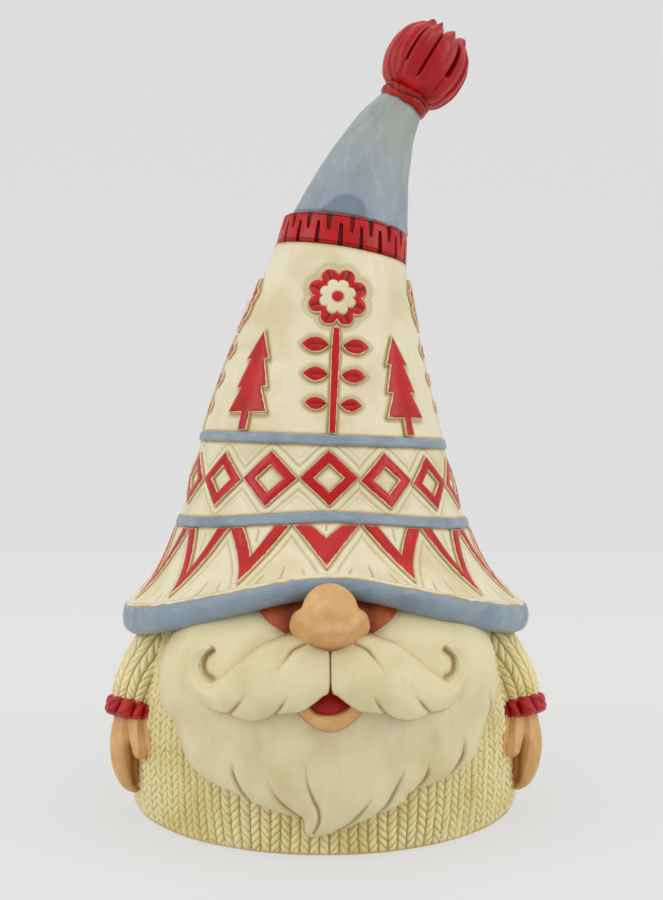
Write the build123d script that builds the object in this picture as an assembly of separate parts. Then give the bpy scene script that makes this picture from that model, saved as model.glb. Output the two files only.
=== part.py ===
"""Tomte gnome figurine: a hollow cast body and hat, with glued castings, pins and raised relief.

Frame: millimetres, +Z up, origin on the table at the centre of the felt pad.
The gnome faces -Y, so its right hand is on the -X side.  Angles named phi run
round the Z axis from the front (-Y) towards +X.
"""

from build123d import *

import os
from math import cos, hypot, pi, radians, sin, sqrt, tan

# ---------------------------------------------------------------- driving dimensions
WALL = 4.5  # body casting
HAT_WALL = 4.2
GLUE = 0.1  # joint line between two castings
PIN_CLEARANCE = 0.05  # radial

FELT_THICKNESS = 1.0
FELT_RADIUS = 51.5
PLATE_THICKNESS = 3.0
PLATE_RADIUS = 50.5
FOOT_RADIUS = 53.4

SHOULDER_Z = 62.0  # flat ledge that the hat stands on
NECK_RADIUS = 31.0
NECK_TOP = 70.0

# Outer wall of the sweater, from the foot to the ledge: (radius, z)
BODY_PROFILE = [(54.4, 10), (54.6, 24), (51.6, 40), (46.0, 54), (42.0, SHOULDER_Z)]

# Hat rings from the brim up: (centre x, z at the sides, radius, extra height at the front, tilt)
HAT_RINGS = [
    (0.0, 54.3, 55.2, 12.8, 0.0),
    (-0.3, 58.4, 50.2, 11.0, 0.0),
    (-0.6, 64.2, 45.8, 8.0, 0.0),
    (-0.7, 76.3, 40.2, 3.5, 0.5),
    (-0.6, 98.9, 33.9, 0.0, 2.0),
    (1.1, 124.9, 26.2, 0.0, 5.0),
    (4.5, 150.6, 18.2, 0.0, 9.0),
]
BRIM_RING, LOWER_BAND_RING, UPPER_BAND_RING, CROWN_RING = 0, 3, 4, 6
BACK_ARCH = 0.15  # share of the front's extra height that the back has
ARCH_SOFTNESS = 0.22  # rounds the top of the arch over the nose

TRIM_DROP_SIDE = 8.2  # height of the rolled brim edge at the sides
TRIM_DROP_FRONT = 5.6
BAND_HEIGHT = 2.8
BAND_PROUD = 0.7
RELIEF = 0.8  # how far the motifs stand off the hat

UNITS_ROUND = 15  # diamonds and zigzags
FLOWERS_ROUND = 4
FLOWER_TURN = 2.0  # degrees that the first flower sits round from the front
DIAMOND_TURN = 0.5
ZIGZAG_TURN = -0.6
TREE_TURNS = (41.0, 138.0, 222.0, 319.5)
FLOWER_LEAN = 3.4  # degrees that the front flower leans with the hat
LEAN_FOOT = 101.0  # height that a flower leans about

RIB_RADII = (18.6, 17.5)
RIB_HEIGHT = 8.4
TIP_RINGS = [  # (centre x, z, radius, tilt) from the rib band to the pompom
    (6.7, 158.9, 16.6, 11.0),
    (8.8, 167.0, 14.2, 15.0),
    (12.4, 177.2, 11.4, 22.0),
    (17.2, 186.5, 8.6, 29.0),
    (21.6, 193.2, 6.4, 33.0),
]
POMPOM_TILT = 31.0
COLLAR_RADIUS = 7.6
COLLAR_HEIGHT = 4.6
POMPOM_RADIUS = 11.9
POMPOM_CENTRE_UP = 12.2  # from the collar's foot, along the tilt
POMPOM_FLUTES = 16
FLUTE_DEPTH = 0.035  # share of the pompom's radius
POMPOM_LATITUDES = (-78, -60, -38, -14, 14, 38, 60, 78)
CROWN_DOWEL_RADIUS = 3.0
POMPOM_PIN_RADIUS = 1.5
ARM_PIN_RADIUS = 1.25
ARM_PIN_HEIGHTS = (34.0, 41.5)

NOSE_CENTRE = (0.0, -61.5, 58.2)
MOUTH_CENTRE = (0.0, -57.5, 41.0)

BIG = 400.0
SECTION_STEP = 22.5  # degrees between the sections of a lofted ring


# ---------------------------------------------------------------- shared geometry
def arch(phi):
    """1 over the nose, 0 at the sides and BACK_ARCH behind."""
    soft = ARCH_SOFTNESS
    rise = (sqrt(1 + soft**2) - sqrt(sin(phi) ** 2 + soft**2)) / (sqrt(1 + soft**2) - soft)
    return rise if cos(phi) >= 0 else rise * BACK_ARCH


def ring_point(ring, phi, grow=0.0):
    """(distance from the Z axis, z) where a hat ring crosses the half-plane at phi."""
    x, z, radius, front, tilt = ring
    radius += grow
    reach = x * sin(phi) + sqrt(radius**2 - (x * cos(phi)) ** 2)
    return reach, z + front * arch(phi) - tan(radians(tilt)) * (reach * sin(phi) - x)


def half_plane(phi):
    """Sketch plane through the Z axis: its x runs outwards at phi and its y is up."""
    return Plane(
        origin=(0, 0, 0),
        x_dir=(sin(phi), -cos(phi), 0),
        z_dir=(-cos(phi), -sin(phi), 0),
    )


def lofted_ring(section):
    """A closed ring lofted through section(phi), a wire in each half-plane."""
    steps = round(180 / SECTION_STEP)
    halves = []
    for first in (0, 180):
        angles = [radians(first + SECTION_STEP * i) for i in range(steps + 1)]
        halves.append(Solid.make_loft([section(a) for a in angles]))
    return halves[0] + halves[1]


def closed_wire(phi, *runs):
    """A wire in the half-plane at phi: runs of two points are lines, longer ones splines."""
    plane = half_plane(phi)
    edges = []
    for run in runs:
        points = [plane.from_local_coords((r, z, 0)) for r, z in run]
        if len(points) == 2:
            edges.append(Edge.make_line(*points))
        else:
            edges.append(Edge.make_spline(points))
    return Wire(edges)


def tilted(x, z, tilt):
    """Plane across the hat at (x, z), leaning towards +X by tilt degrees."""
    return Plane(
        origin=(x, 0, z),
        x_dir=(cos(radians(tilt)), 0, -sin(radians(tilt))),
        z_dir=(sin(radians(tilt)), 0, cos(radians(tilt))),
    )


def cylinder_between(start, end, radius):
    start, end = Vector(*start), Vector(*end)
    along = end - start
    return Solid.make_cylinder(radius, along.length, Plane(origin=start, z_dir=along))


def ellipsoid(centre, radii, tilt=0.0):
    """An ellipsoid with semi-axes radii, turned by tilt degrees about Y."""
    ball = Solid.make_sphere(1.0, angle1=-90, angle2=90, angle3=360)
    matrix = Matrix(
        [
            [radii[0], 0, 0, 0],
            [0, radii[1], 0, 0],
            [0, 0, radii[2], 0],
        ]
    )
    shaped = ball.transform_geometry(matrix)
    return Location(centre, (0, tilt, 0)) * shaped


def lofted_limb(stations):
    """A loft through ellipses: each station is (centre, direction, wide, deep)."""
    wires = []
    for centre, along, wide, deep in stations:
        across = Vector(0, 1, 0).cross(Vector(*along))
        plane = Plane(origin=centre, x_dir=across, z_dir=along)
        wires.append(Wire(Edge.make_ellipse(wide, deep, plane)))
    return Solid.make_loft(wires)


def mirrored(shape):
    return shape.mirror(Plane.YZ)


def front_prism(points, depth=BIG):
    """An outline in X and Z, pushed from the Z axis towards the front."""
    return Solid.extrude(Face(Wire.make_polygon([(x, 0, z) for x, z in points])), Vector(0, -depth, 0))


def smooth_prism(points, depth=BIG):
    """As front_prism, with a smooth closed outline through the points."""
    edge = Edge.make_spline([(x, 0, z) for x, z in points], periodic=True)
    return Solid.extrude(Face(Wire([edge])), Vector(0, -depth, 0))


def revolved(outline):
    """A solid of revolution of (radius, z) points: the outline is a smooth curve closed on the axis."""
    (first_r, first_z), (last_r, last_z) = outline[0], outline[-1]
    edges = [
        Edge.make_spline([(r, 0, z) for r, z in outline]),
        Edge.make_line((last_r, 0, last_z), (0, 0, last_z)),
        Edge.make_line((0, 0, last_z), (0, 0, first_z)),
        Edge.make_line((0, 0, first_z), (first_r, 0, first_z)),
    ]
    return Solid.revolve(Face(Wire(edges)), 360, Axis.Z)


def largest(shape):
    """The main solid of a cut, without any loose crumbs."""
    return max(shape.solids(), key=lambda s: s.volume)


def group(shapes):
    """Several separate solids as one node."""
    return Compound([s for shape in shapes for s in shape.solids()])


# ---------------------------------------------------------------- body and base
def make_body_shell():
    foot = FELT_THICKNESS
    plate_top = foot + PLATE_THICKNESS + GLUE
    inner = [(r - WALL, z) for r, z in BODY_PROFILE[:-1]]
    outline = [
        Edge.make_spline([(r, 0, z) for r, z in [(FOOT_RADIUS, foot), *BODY_PROFILE]]),
        Edge.make_line((BODY_PROFILE[-1][0], 0, SHOULDER_Z), (NECK_RADIUS, 0, SHOULDER_Z)),
        Edge.make_line((NECK_RADIUS, 0, SHOULDER_Z), (NECK_RADIUS, 0, NECK_TOP)),
        Edge.make_line((NECK_RADIUS, 0, NECK_TOP), (NECK_RADIUS - WALL, 0, NECK_TOP)),
    ]
    top_r, top_z = inner[-1]
    low_r = inner[0][0]
    corners = [
        (NECK_RADIUS - WALL, NECK_TOP),
        (NECK_RADIUS - WALL, SHOULDER_Z - WALL),
        (top_r, top_z),
    ]
    outline += [Edge.make_line((a, 0, b), (c, 0, d)) for (a, b), (c, d) in zip(corners, corners[1:])]
    outline.append(Edge.make_spline([(r, 0, z) for r, z in reversed(inner)]))
    corners = [
        (low_r, inner[0][1]),
        (low_r, plate_top),
        (PLATE_RADIUS + GLUE, plate_top),
        (PLATE_RADIUS + GLUE, foot),
        (FOOT_RADIUS, foot),
    ]
    outline += [Edge.make_line((a, 0, b), (c, 0, d)) for (a, b), (c, d) in zip(corners, corners[1:])]
    return Solid.revolve(Face(Wire(outline)), 360, Axis.Z)


def make_body_core():
    """The body's outer shape filled in, for cutting what stands on it."""
    ledge_r = BODY_PROFILE[-1][0]
    outer = revolved([(FOOT_RADIUS, FELT_THICKNESS), *BODY_PROFILE])
    below = Solid.make_cylinder(ledge_r, SHOULDER_Z - 2.0, Plane((0, 0, FELT_THICKNESS)))
    return outer + below


def make_base_plate():
    return Solid.make_cylinder(PLATE_RADIUS, PLATE_THICKNESS, Plane((0, 0, FELT_THICKNESS)))


def make_felt_pad():
    return Solid.make_cylinder(FELT_RADIUS, FELT_THICKNESS)


# ---------------------------------------------------------------- arms
ARM_STATIONS = [  # left arm, shoulder to wrist: (centre, direction, wide, deep)
    ((36.0, -7.0, 54.5), (0.8, -0.35, -0.6), 6.6, 8.4),
    ((43.8, -13.5, 43.5), (0.55, -0.35, -0.8), 7.6, 9.8),
    ((48.3, -17.5, 36.5), (0.4, -0.3, -0.9), 7.2, 9.2),
    ((50.4, -19.4, 30.5), (0.2, -0.2, -1.0), 6.4, 8.0),
    ((51.0, -19.8, 28.4), (0.2, -0.2, -1.0), 5.8, 7.4),
]
CUFF_STATIONS = [
    ((50.4, -19.6, 30.8), (0.22, -0.3, -1.0), 6.0, 7.6),
    ((50.75, -20.0, 29.4), (0.22, -0.3, -1.0), 7.0, 8.7),
    ((51.1, -20.5, 27.3), (0.22, -0.3, -1.0), 7.0, 8.7),
    ((51.4, -20.9, 25.8), (0.22, -0.3, -1.0), 6.0, 7.8),
]
HAND_STATIONS = [
    ((51.3, -21.0, 27.2), (0.1, -0.1, -1.0), 5.0, 6.6),
    ((51.9, -21.8, 20.0), (0.0, -0.05, -1.0), 5.8, 7.4),
    ((52.1, -22.0, 14.5), (-0.15, 0.0, -1.0), 5.0, 6.6),
    ((51.6, -21.8, 10.0), (-0.3, 0.1, -1.0), 3.6, 4.8),
    ((50.2, -21.4, 5.6), (-0.4, 0.1, -1.0), 1.4, 2.4),
]
THUMB_STATIONS = [
    ((47.4, -26.2, 24.5), (-0.1, -0.3, -1.0), 4.4, 3.2),
    ((46.6, -28.2, 20.0), (-0.1, -0.2, -1.0), 3.8, 2.8),
    ((46.4, -28.9, 15.8), (-0.05, 0.0, -1.0), 2.4, 2.0),
]


def make_left_arm(core, beard, brim_space):
    """(sleeve, cuff, hand, pins, pin holes) of the gnome's left arm."""
    cuff = largest(lofted_limb(CUFF_STATIONS) - core - beard)
    hand = largest((lofted_limb(HAND_STATIONS) + lofted_limb(THUMB_STATIONS)) - core - beard - cuff)
    sleeve = largest(lofted_limb(ARM_STATIONS) - core - beard - cuff - brim_space)
    pins, holes = [], []
    for z in ARM_PIN_HEIGHTS:
        start, end = (44.0, -14.0, z), (51.5, -17.5, z)
        pins.append(cylinder_between(start, end, ARM_PIN_RADIUS))
        holes.append(cylinder_between(start, end, ARM_PIN_RADIUS + PIN_CLEARANCE))
    return sleeve, cuff, hand, pins, holes


# ---------------------------------------------------------------- head and beard
BEARD_OUTLINE = [
    (0, 53), (20, 57), (36, 54), (44, 46), (46, 34), (42, 22), (34, 14.5), (22, 9.5),
    (8, 5.0), (-3, 2.6), (-10, 5.0), (-20, 8.5), (-32, 13), (-41, 21), (-44, 33), (-42.5, 46),
    (-36, 54), (-20, 57),
]  # fmt: skip
BEARD_PROFILE = [(54.9, 2.2), (58.6, 8), (61.4, 20), (62.0, 34), (58.4, 48), (51.5, 59)]
FACE_OUTLINE = [(-31, 50), (31, 50), (24, 61.8), (-24, 61.8)]
FACE_PROFILE = [(56.5, 46), (55.8, 54), (52.6, 61.8)]
MOUTH_OUTLINE = [(-7.0, 38.6), (7.0, 38.6), (4.0, 43.5), (0, 47.0), (-4.0, 43.5)]
MOUSTACHE_STATIONS = [  # left half: (centre, direction, up, deep)
    ((0.0, -61.6, 48.0), (1, 0.0, 0.0), 4.8, 4.0),
    ((7.0, -62.4, 46.6), (1, 0.12, -0.25), 7.2, 5.6),
    ((15.0, -60.4, 43.4), (1, 0.35, -0.25), 8.2, 5.6),
    ((23.0, -56.2, 41.6), (1, 0.55, 0.0), 6.6, 4.8),
    ((29.5, -51.2, 42.4), (0.8, 0.65, 0.3), 4.2, 3.8),
    ((34.0, -47.2, 45.4), (0.6, 0.6, 0.8), 2.2, 2.4),
    ((35.2, -45.8, 48.2), (0.1, 0.2, 1), 0.9, 1.2),
]


def make_moustache_half():
    wires = []
    for centre, along, up, deep in MOUSTACHE_STATIONS:
        plane = Plane(origin=centre, x_dir=Vector(*along).cross(Vector(0, 1, 0)), z_dir=along)
        wires.append(Wire(Edge.make_ellipse(up, deep, plane)))
    return Solid.make_loft(wires)


def make_nose():
    x, y, z = NOSE_CENTRE
    bridge = ellipsoid((x, y, z + 1.6), (7.2, 8.0, 6.4))
    nostrils = ellipsoid((x, y, z - 2.2), (9.9, 7.6, 5.4))
    return bridge + nostrils


def make_head_parts(core, brim_space, trim_space):
    """Face, beard, moustache halves, nose, mouth and lip, each clear of those behind it."""
    x, y, z = MOUTH_CENTRE
    face = largest((revolved(FACE_PROFILE) & front_prism(FACE_OUTLINE)) - core - brim_space)
    lip_top = Solid.make_box(BIG, BIG, z - 2.0, Plane((-BIG / 2, -BIG / 2, 0)))
    lip = largest((ellipsoid((x, y - 1.0, z - 3.0), (8.0, 5.6, 4.4)) & lip_top) - core)
    mouth = largest((ellipsoid(MOUTH_CENTRE, (9.0, 7.0, 6.4)) & front_prism(MOUTH_OUTLINE)) - lip - core)
    beard = revolved(BEARD_PROFILE) & smooth_prism(BEARD_OUTLINE)
    beard = largest(beard - core - face - lip - mouth - brim_space)
    left_side = Solid.make_box(BIG, BIG, BIG, Plane((GLUE / 2, -BIG / 2, 0)))
    left = make_moustache_half() & left_side
    left = largest(left - face - beard - lip - mouth - core - brim_space)
    right = mirrored(left)
    nose = largest(make_nose() - core - face - beard - left - right - trim_space)
    return face, beard, left, right, nose, mouth, lip


# ---------------------------------------------------------------- hat
def hat_profile(phi, grow=0.0):
    """Outer profile of the hat at phi, from the brim to just past the crown."""
    points = [ring_point(ring, phi, grow) for ring in HAT_RINGS]
    (r_a, z_a), (r_b, z_b) = points[-2:]
    past = 0.25
    return [*points, (r_b + (r_b - r_a) * past, z_b + (z_b - z_a) * past)]


def hat_section(phi, grow=0.0):
    outer = hat_profile(phi, grow)
    top_r, top_z = outer[-1]
    inner = [(r - HAT_WALL, z) for r, z in outer[LOWER_BAND_RING:]]
    brim_r, brim_z = outer[BRIM_RING]
    floor_top, floor_low = NECK_TOP, SHOULDER_Z + GLUE
    bore = NECK_RADIUS + GLUE
    low_r, low_z = inner[0]
    return closed_wire(
        phi,
        outer,
        [(top_r, top_z), inner[-1]],
        list(reversed(inner)),
        [(low_r, low_z), (bore, floor_top)],
        [(bore, floor_top), (bore, floor_low)],
        [(bore, floor_low), (43.5, floor_low)],
        [(43.5, floor_low), (51.0, brim_z + 1.0)],
        [(51.0, brim_z + 1.0), (brim_r, brim_z)],
    )


def relief_section(phi):
    """Thin skin over the hat, past the glue line, that the motifs are cut from."""
    base = hat_profile(phi, GLUE)
    proud = hat_profile(phi, RELIEF)
    return closed_wire(phi, base, [base[-1], proud[-1]], list(reversed(proud)), [proud[0], base[0]])


def trim_heights(phi):
    """(radius, top, bottom) of the rolled edge at phi."""
    r, z = ring_point(HAT_RINGS[BRIM_RING], phi)
    drop = TRIM_DROP_SIDE + (TRIM_DROP_FRONT - TRIM_DROP_SIDE) * max(0.0, arch(phi))
    return r, z - GLUE, z - drop


def trim_section(phi, grow=0.0):
    r, top, low = trim_heights(phi)
    r, top, low, inside = r + grow, top + grow, low - grow, 50.4 - grow
    drop = top - low
    belly = [(r, top), (r + 1.2, top - 0.35 * drop), (r + 0.6, low + 0.25 * drop), (r - 1.2, low)]
    return closed_wire(
        phi,
        [(inside + 0.6, top + 1.0), (r, top)],
        belly,
        [(r - 1.2, low), (inside, low + 0.6)],
        [(inside, low + 0.6), (inside + 0.6, top + 1.0)],
    )


def brim_space_section(phi):
    """Everything above the underside of the hat and its rolled edge."""
    r, _, low = trim_heights(phi)
    ledge = SHOULDER_Z - GLUE
    corners = [
        (NECK_RADIUS, ledge),
        (43.0, ledge),
        (50.2, low + 0.4),
        (r - 1.3, low - GLUE),
        (r + 20.0, low - GLUE),
        (r + 20.0, 90.0),
        (NECK_RADIUS, 90.0),
    ]
    return closed_wire(phi, *zip(corners, [*corners[1:], corners[0]]))


def band_section(ring_index):
    ring = HAT_RINGS[ring_index]
    below, above = HAT_RINGS[ring_index - 1], HAT_RINGS[ring_index + 1]

    def section(phi):
        r, z = ring_point(ring, phi)
        (r_low, z_low), (r_high, z_high) = ring_point(below, phi), ring_point(above, phi)
        slope = (r_high - r_low) / (z_high - z_low)
        half = BAND_HEIGHT / 2
        out_low = (r - slope * half + BAND_PROUD, z - half)
        out_high = (r + slope * half + BAND_PROUD, z + half)
        in_high, in_low = (r - 2.5, z + half), (r - 2.5, z - half)
        sides = [[out_low, out_high], [out_high, in_high], [in_high, in_low], [in_low, out_low]]
        return closed_wire(phi, *sides)

    return section


def make_crown():
    """(rib band, hat tip, dowel, holes): the band has a spigot that centres it in the hat."""
    x, z, radius, _, tilt = HAT_RINGS[CROWN_RING]
    seat = tilted(x, z, tilt)
    mouth_radius = radius - HAT_WALL
    rib = Solid.make_cone(RIB_RADII[0], RIB_RADII[1], RIB_HEIGHT, seat.offset(GLUE))
    spigot = Solid.make_cylinder(mouth_radius - 2.6, 5.0 + GLUE, seat.offset(-5.0))
    rib = rib + spigot
    stations = []
    for cx, cz, r, lean in TIP_RINGS:
        stations.append(Wire(Edge.make_circle(r, tilted(cx, cz, lean))))
    tip = Solid.make_loft(stations) - rib
    foot, head = seat.offset(-4.0).origin, seat.offset(20.0).origin
    dowel = cylinder_between(foot, head, CROWN_DOWEL_RADIUS)
    hole = cylinder_between(foot, head, CROWN_DOWEL_RADIUS + PIN_CLEARANCE)
    return rib - hole, tip - hole, dowel, seat


def fluted_wire(centre, latitude):
    """Closed wavy outline of the pompom at a latitude, drawn across the plane centre."""
    plane = centre.offset(POMPOM_RADIUS * sin(latitude))
    points = []
    for i in range(4 * POMPOM_FLUTES):
        turn = 2 * pi * i / (4 * POMPOM_FLUTES)
        reach = POMPOM_RADIUS * cos(latitude) * (1 - FLUTE_DEPTH * (1 - cos(POMPOM_FLUTES * turn)))
        points.append(plane.from_local_coords((reach * cos(turn), reach * sin(turn), 0)))
    return Wire([Edge.make_spline(points, periodic=True)])


def make_pompom():
    """(collar, pompom, pin, pin hole)"""
    x, z, _, _ = TIP_RINGS[-1]
    foot = tilted(x, z, POMPOM_TILT)
    collar = Solid.make_torus(COLLAR_RADIUS - 2.0, COLLAR_HEIGHT / 2, foot.offset(COLLAR_HEIGHT / 2 - 0.6))
    core = Solid.make_cylinder(COLLAR_RADIUS - 2.0, COLLAR_HEIGHT - 0.2, foot.offset(-0.4))
    collar = collar + core
    centre = foot.offset(POMPOM_CENTRE_UP)
    ball = Solid.make_loft([fluted_wire(centre, radians(latitude)) for latitude in POMPOM_LATITUDES])
    pin_start, pin_end = foot.offset(-8.0).origin, foot.offset(10.0).origin
    pin = cylinder_between(pin_start, pin_end, POMPOM_PIN_RADIUS)
    hole = cylinder_between(pin_start, pin_end, POMPOM_PIN_RADIUS + PIN_CLEARANCE)
    return collar, ball, pin, hole


# ---------------------------------------------------------------- raised motifs on the hat
def motif_prism(phi, faces, lean=0.0):
    """Flat shapes, drawn as tangent distance and height, leant and pushed outwards at phi degrees."""
    turn = radians(phi)
    plane = Plane(
        origin=(0, 0, 0),
        x_dir=(cos(turn), sin(turn), 0),
        z_dir=(sin(turn), -cos(turn), 0),
    )
    foot = Axis((0, LEAN_FOOT, 0), (0, 0, 1))
    return [Solid.extrude(plane.from_local_coords(f.rotate(foot, -lean)), plane.z_dir * 70) for f in faces]


def polygon(points):
    return Face(Wire.make_polygon([(x, y, 0) for x, y in points]))


def leaf(x, z, length, height):
    tip, heel = (x + length / 2, z), (x - length / 2, z)
    upper = Edge.make_three_point_arc((*heel, 0), (x, z + height / 2, 0), (*tip, 0))
    lower = Edge.make_three_point_arc((*tip, 0), (x, z - height / 2, 0), (*heel, 0))
    return Face(Wire([upper, lower]))


FLOWER_Z = 136.4
FLOWER_RADIUS = 8.0
HEART_RADIUS = 4.8
BUTTON_RADIUS = 1.6
PETALS = 8
STEM_HALF_WIDTH = 0.9
LEAF_ROWS = [(123.4, 7.4, 4.2), (115.6, 6.8, 3.9), (108.0, 6.0, 3.5)]
LEAF_GAP = 1.5
TREE_HALF = [  # right-hand outline, foot to top: (half width, height over the foot)
    (1.4, 0.0), (1.4, 4.6), (6.6, 4.6), (3.4, 11.2), (5.2, 11.2), (2.4, 18.6), (3.9, 18.6), (0.0, 26.4),
]  # fmt: skip
DIAMOND_HALF = (7.5, 7.1)
DIAMOND_HOLE = (4.1, 3.8)
ZIGZAG_STROKE = 3.0
BAND_GAP = 0.2  # between a motif and the band beside it


def petal_ring(radius, share):
    """Rosette: a disc with PETALS round lobes that take share of its radius."""
    lobe = radius * share
    shape = Face(Wire(Edge.make_circle(radius - lobe)))
    for i in range(PETALS):
        turn = 2 * pi * (i + 0.5) / PETALS
        at = Plane((cos(turn) * (radius - lobe), sin(turn) * (radius - lobe), 0))
        shape = shape + Face(Wire(Edge.make_circle(lobe, at)))
    return shape.faces()[0]


def band_edge(ring_index, phi, side):
    """Height of a band's upper (side 1) or lower (side -1) edge at phi degrees, past the gap."""
    middle = ring_point(HAT_RINGS[ring_index], radians(phi))[1]
    return middle + side * (BAND_HEIGHT / 2 + BAND_GAP)


def stem_face(foot):
    """Flower stem from the upper band to the petals."""
    head = FLOWER_Z - FLOWER_RADIUS - BAND_GAP
    half = STEM_HALF_WIDTH
    return polygon([(-half, foot), (half, foot), (half, head), (-half, head)])


def leaf_faces():
    faces = []
    for z, length, height in LEAF_ROWS:
        middle = LEAF_GAP + length / 2
        faces += [leaf(middle, z, length, height), leaf(-middle, z, length, height)]
    return faces


def tree_face(foot):
    right = [(x, foot + h) for x, h in TREE_HALF]
    return polygon(right + [(-x, z) for x, z in reversed(right[:-1])])


def diamond_face(half_width, half_height, z):
    return polygon([(half_width, z), (0, z + half_height), (-half_width, z), (0, z - half_height)])


def make_motifs(skin):
    """Flowers and fir trees: each node is a group of separate plates, one per place round the hat."""
    names = ("petals", "hearts", "buttons", "stems", "leaves")
    plates = {f"flower_{name}": [] for name in names}
    plates["fir_trees"] = []
    at_flower = Location((0, FLOWER_Z, 0))
    button = Face(Wire(Edge.make_circle(BUTTON_RADIUS))).moved(at_flower)
    heart = petal_ring(HEART_RADIUS, 0.3).moved(at_flower)
    flower = petal_ring(FLOWER_RADIUS, 0.3).moved(at_flower)
    quarter = 360 / FLOWERS_ROUND
    for i in range(FLOWERS_ROUND):
        at = FLOWER_TURN + quarter * i
        lean = FLOWER_LEAN * cos(radians(at))
        buttons, hearts, petals = motif_prism(at, [button, heart, flower], lean)
        plates["flower_buttons"].append(skin & buttons)
        plates["flower_hearts"].append((skin & hearts) - buttons)
        plates["flower_petals"].append((skin & petals) - hearts)
        stem = stem_face(band_edge(UPPER_BAND_RING, at, 1))
        plates["flower_stems"].append(skin & motif_prism(at, [stem], lean)[0])
        plates["flower_leaves"] += [skin & prism for prism in motif_prism(at, leaf_faces(), lean)]
    for at in TREE_TURNS:
        tree = tree_face(band_edge(UPPER_BAND_RING, at, 1) + BAND_GAP)
        plates["fir_trees"].append(skin & motif_prism(at, [tree])[0])
    return plates


def zigzag_face(at, unit):
    """One V from the lower band to the brim, its ends following the band's arch."""
    radius = ring_point(HAT_RINGS[LOWER_BAND_RING], radians(at))[0]
    side = radius * tan(radians(unit / 2)) - BAND_GAP
    left, right = (band_edge(LOWER_BAND_RING, at + turn * unit / 2, -1) for turn in (-1, 1))
    foot = ring_point(HAT_RINGS[BRIM_RING], radians(at))[1] + 1.2
    drop = (left + right) / 2 - foot
    across = ZIGZAG_STROKE * hypot(side, drop) / drop  # the stroke's width, measured level
    notch = foot + 1.45 * across
    inner = side - across
    slope = (right - left) / (2 * side)
    return polygon(
        [
            (-side, left),
            (0, foot),
            (side, right),
            (inner, right - slope * across),
            (0, notch),
            (-inner, left + slope * across),
        ]
    )


def make_zones(skin):
    """Diamonds between the two bands, and the zigzag between the lower band and the brim."""
    diamonds, zigzags = [], []
    unit = 360 / UNITS_ROUND
    for i in range(UNITS_ROUND):
        at = DIAMOND_TURN + unit * i
        z = (band_edge(LOWER_BAND_RING, at, 1) + band_edge(UPPER_BAND_RING, at, -1)) / 2
        outer, hole = motif_prism(at, [diamond_face(*DIAMOND_HALF, z), diamond_face(*DIAMOND_HOLE, z)])
        diamonds.append((skin & outer) - hole)
        at = ZIGZAG_TURN + unit * i
        zigzags.append(skin & motif_prism(at, [zigzag_face(at, unit)])[0])
    return diamonds, zigzags


# ---------------------------------------------------------------- assembly
def main():
    os.makedirs("parts", exist_ok=True)
    nodes = {}

    body, core = make_body_shell(), make_body_core()
    brim_space = lofted_ring(brim_space_section)
    trim_space = lofted_ring(lambda phi: trim_section(phi, GLUE))
    head = make_head_parts(core, brim_space, trim_space)
    face, beard, moustache_left, moustache_right, nose, mouth, lip = head
    sleeve, cuff, hand, pins, holes = make_left_arm(core, beard, brim_space)
    nodes["body_shell"] = body - holes - [mirrored(h) for h in holes]
    nodes["base_plate"] = make_base_plate()
    nodes["felt_pad"] = make_felt_pad()
    left_arm = {"sleeve": sleeve - holes, "cuff": cuff, "hand": hand}
    for name, shape in left_arm.items():
        nodes[f"{name}_left"] = shape
        nodes[f"{name}_right"] = mirrored(shape)
    nodes["arm_pins"] = group(pins + [mirrored(p) for p in pins])
    nodes["face"] = face
    nodes["beard"] = beard
    nodes["moustache_left"] = moustache_left
    nodes["moustache_right"] = moustache_right
    nodes["nose"] = nose
    nodes["mouth"] = mouth
    nodes["lower_lip"] = lip

    rib, tip, dowel, seat = make_crown()
    above_crown = Solid.make_cylinder(40, 40, seat)
    hat_space = lofted_ring(lambda phi: hat_section(phi, GLUE))
    collar, pompom, pin, pin_hole = make_pompom()
    nodes["hat_cone"] = lofted_ring(hat_section) - above_crown
    nodes["hat_brim_trim"] = lofted_ring(trim_section)
    nodes["hat_band_lower"] = lofted_ring(band_section(LOWER_BAND_RING)) - hat_space
    nodes["hat_band_upper"] = lofted_ring(band_section(UPPER_BAND_RING)) - hat_space
    nodes["hat_rib_band"] = rib
    nodes["hat_tip"] = tip - pin_hole - collar
    nodes["crown_dowel"] = dowel
    nodes["pompom_collar"] = collar - pin_hole - pompom
    nodes["pompom"] = pompom - pin_hole
    nodes["pompom_pin"] = pin

    skin = lofted_ring(relief_section) - above_crown
    for name, plates in make_motifs(skin).items():
        nodes[name] = group(plates)
    diamonds, zigzags = make_zones(skin)
    nodes["diamond_frames"] = group(diamonds)
    nodes["zigzag_bars"] = group(zigzags)

    for name, shape in nodes.items():
        export_step(shape, f"parts/{name}.step")


main()
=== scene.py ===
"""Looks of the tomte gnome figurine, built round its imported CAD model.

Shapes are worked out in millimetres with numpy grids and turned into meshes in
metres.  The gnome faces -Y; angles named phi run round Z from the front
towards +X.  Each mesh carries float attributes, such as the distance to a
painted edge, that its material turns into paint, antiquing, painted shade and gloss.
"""

from math import ceil, pi, radians

import bpy
import numpy as np
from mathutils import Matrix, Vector
from mathutils.bvhtree import BVHTree
from mathutils.geometry import delaunay_2d_cdt


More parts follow.
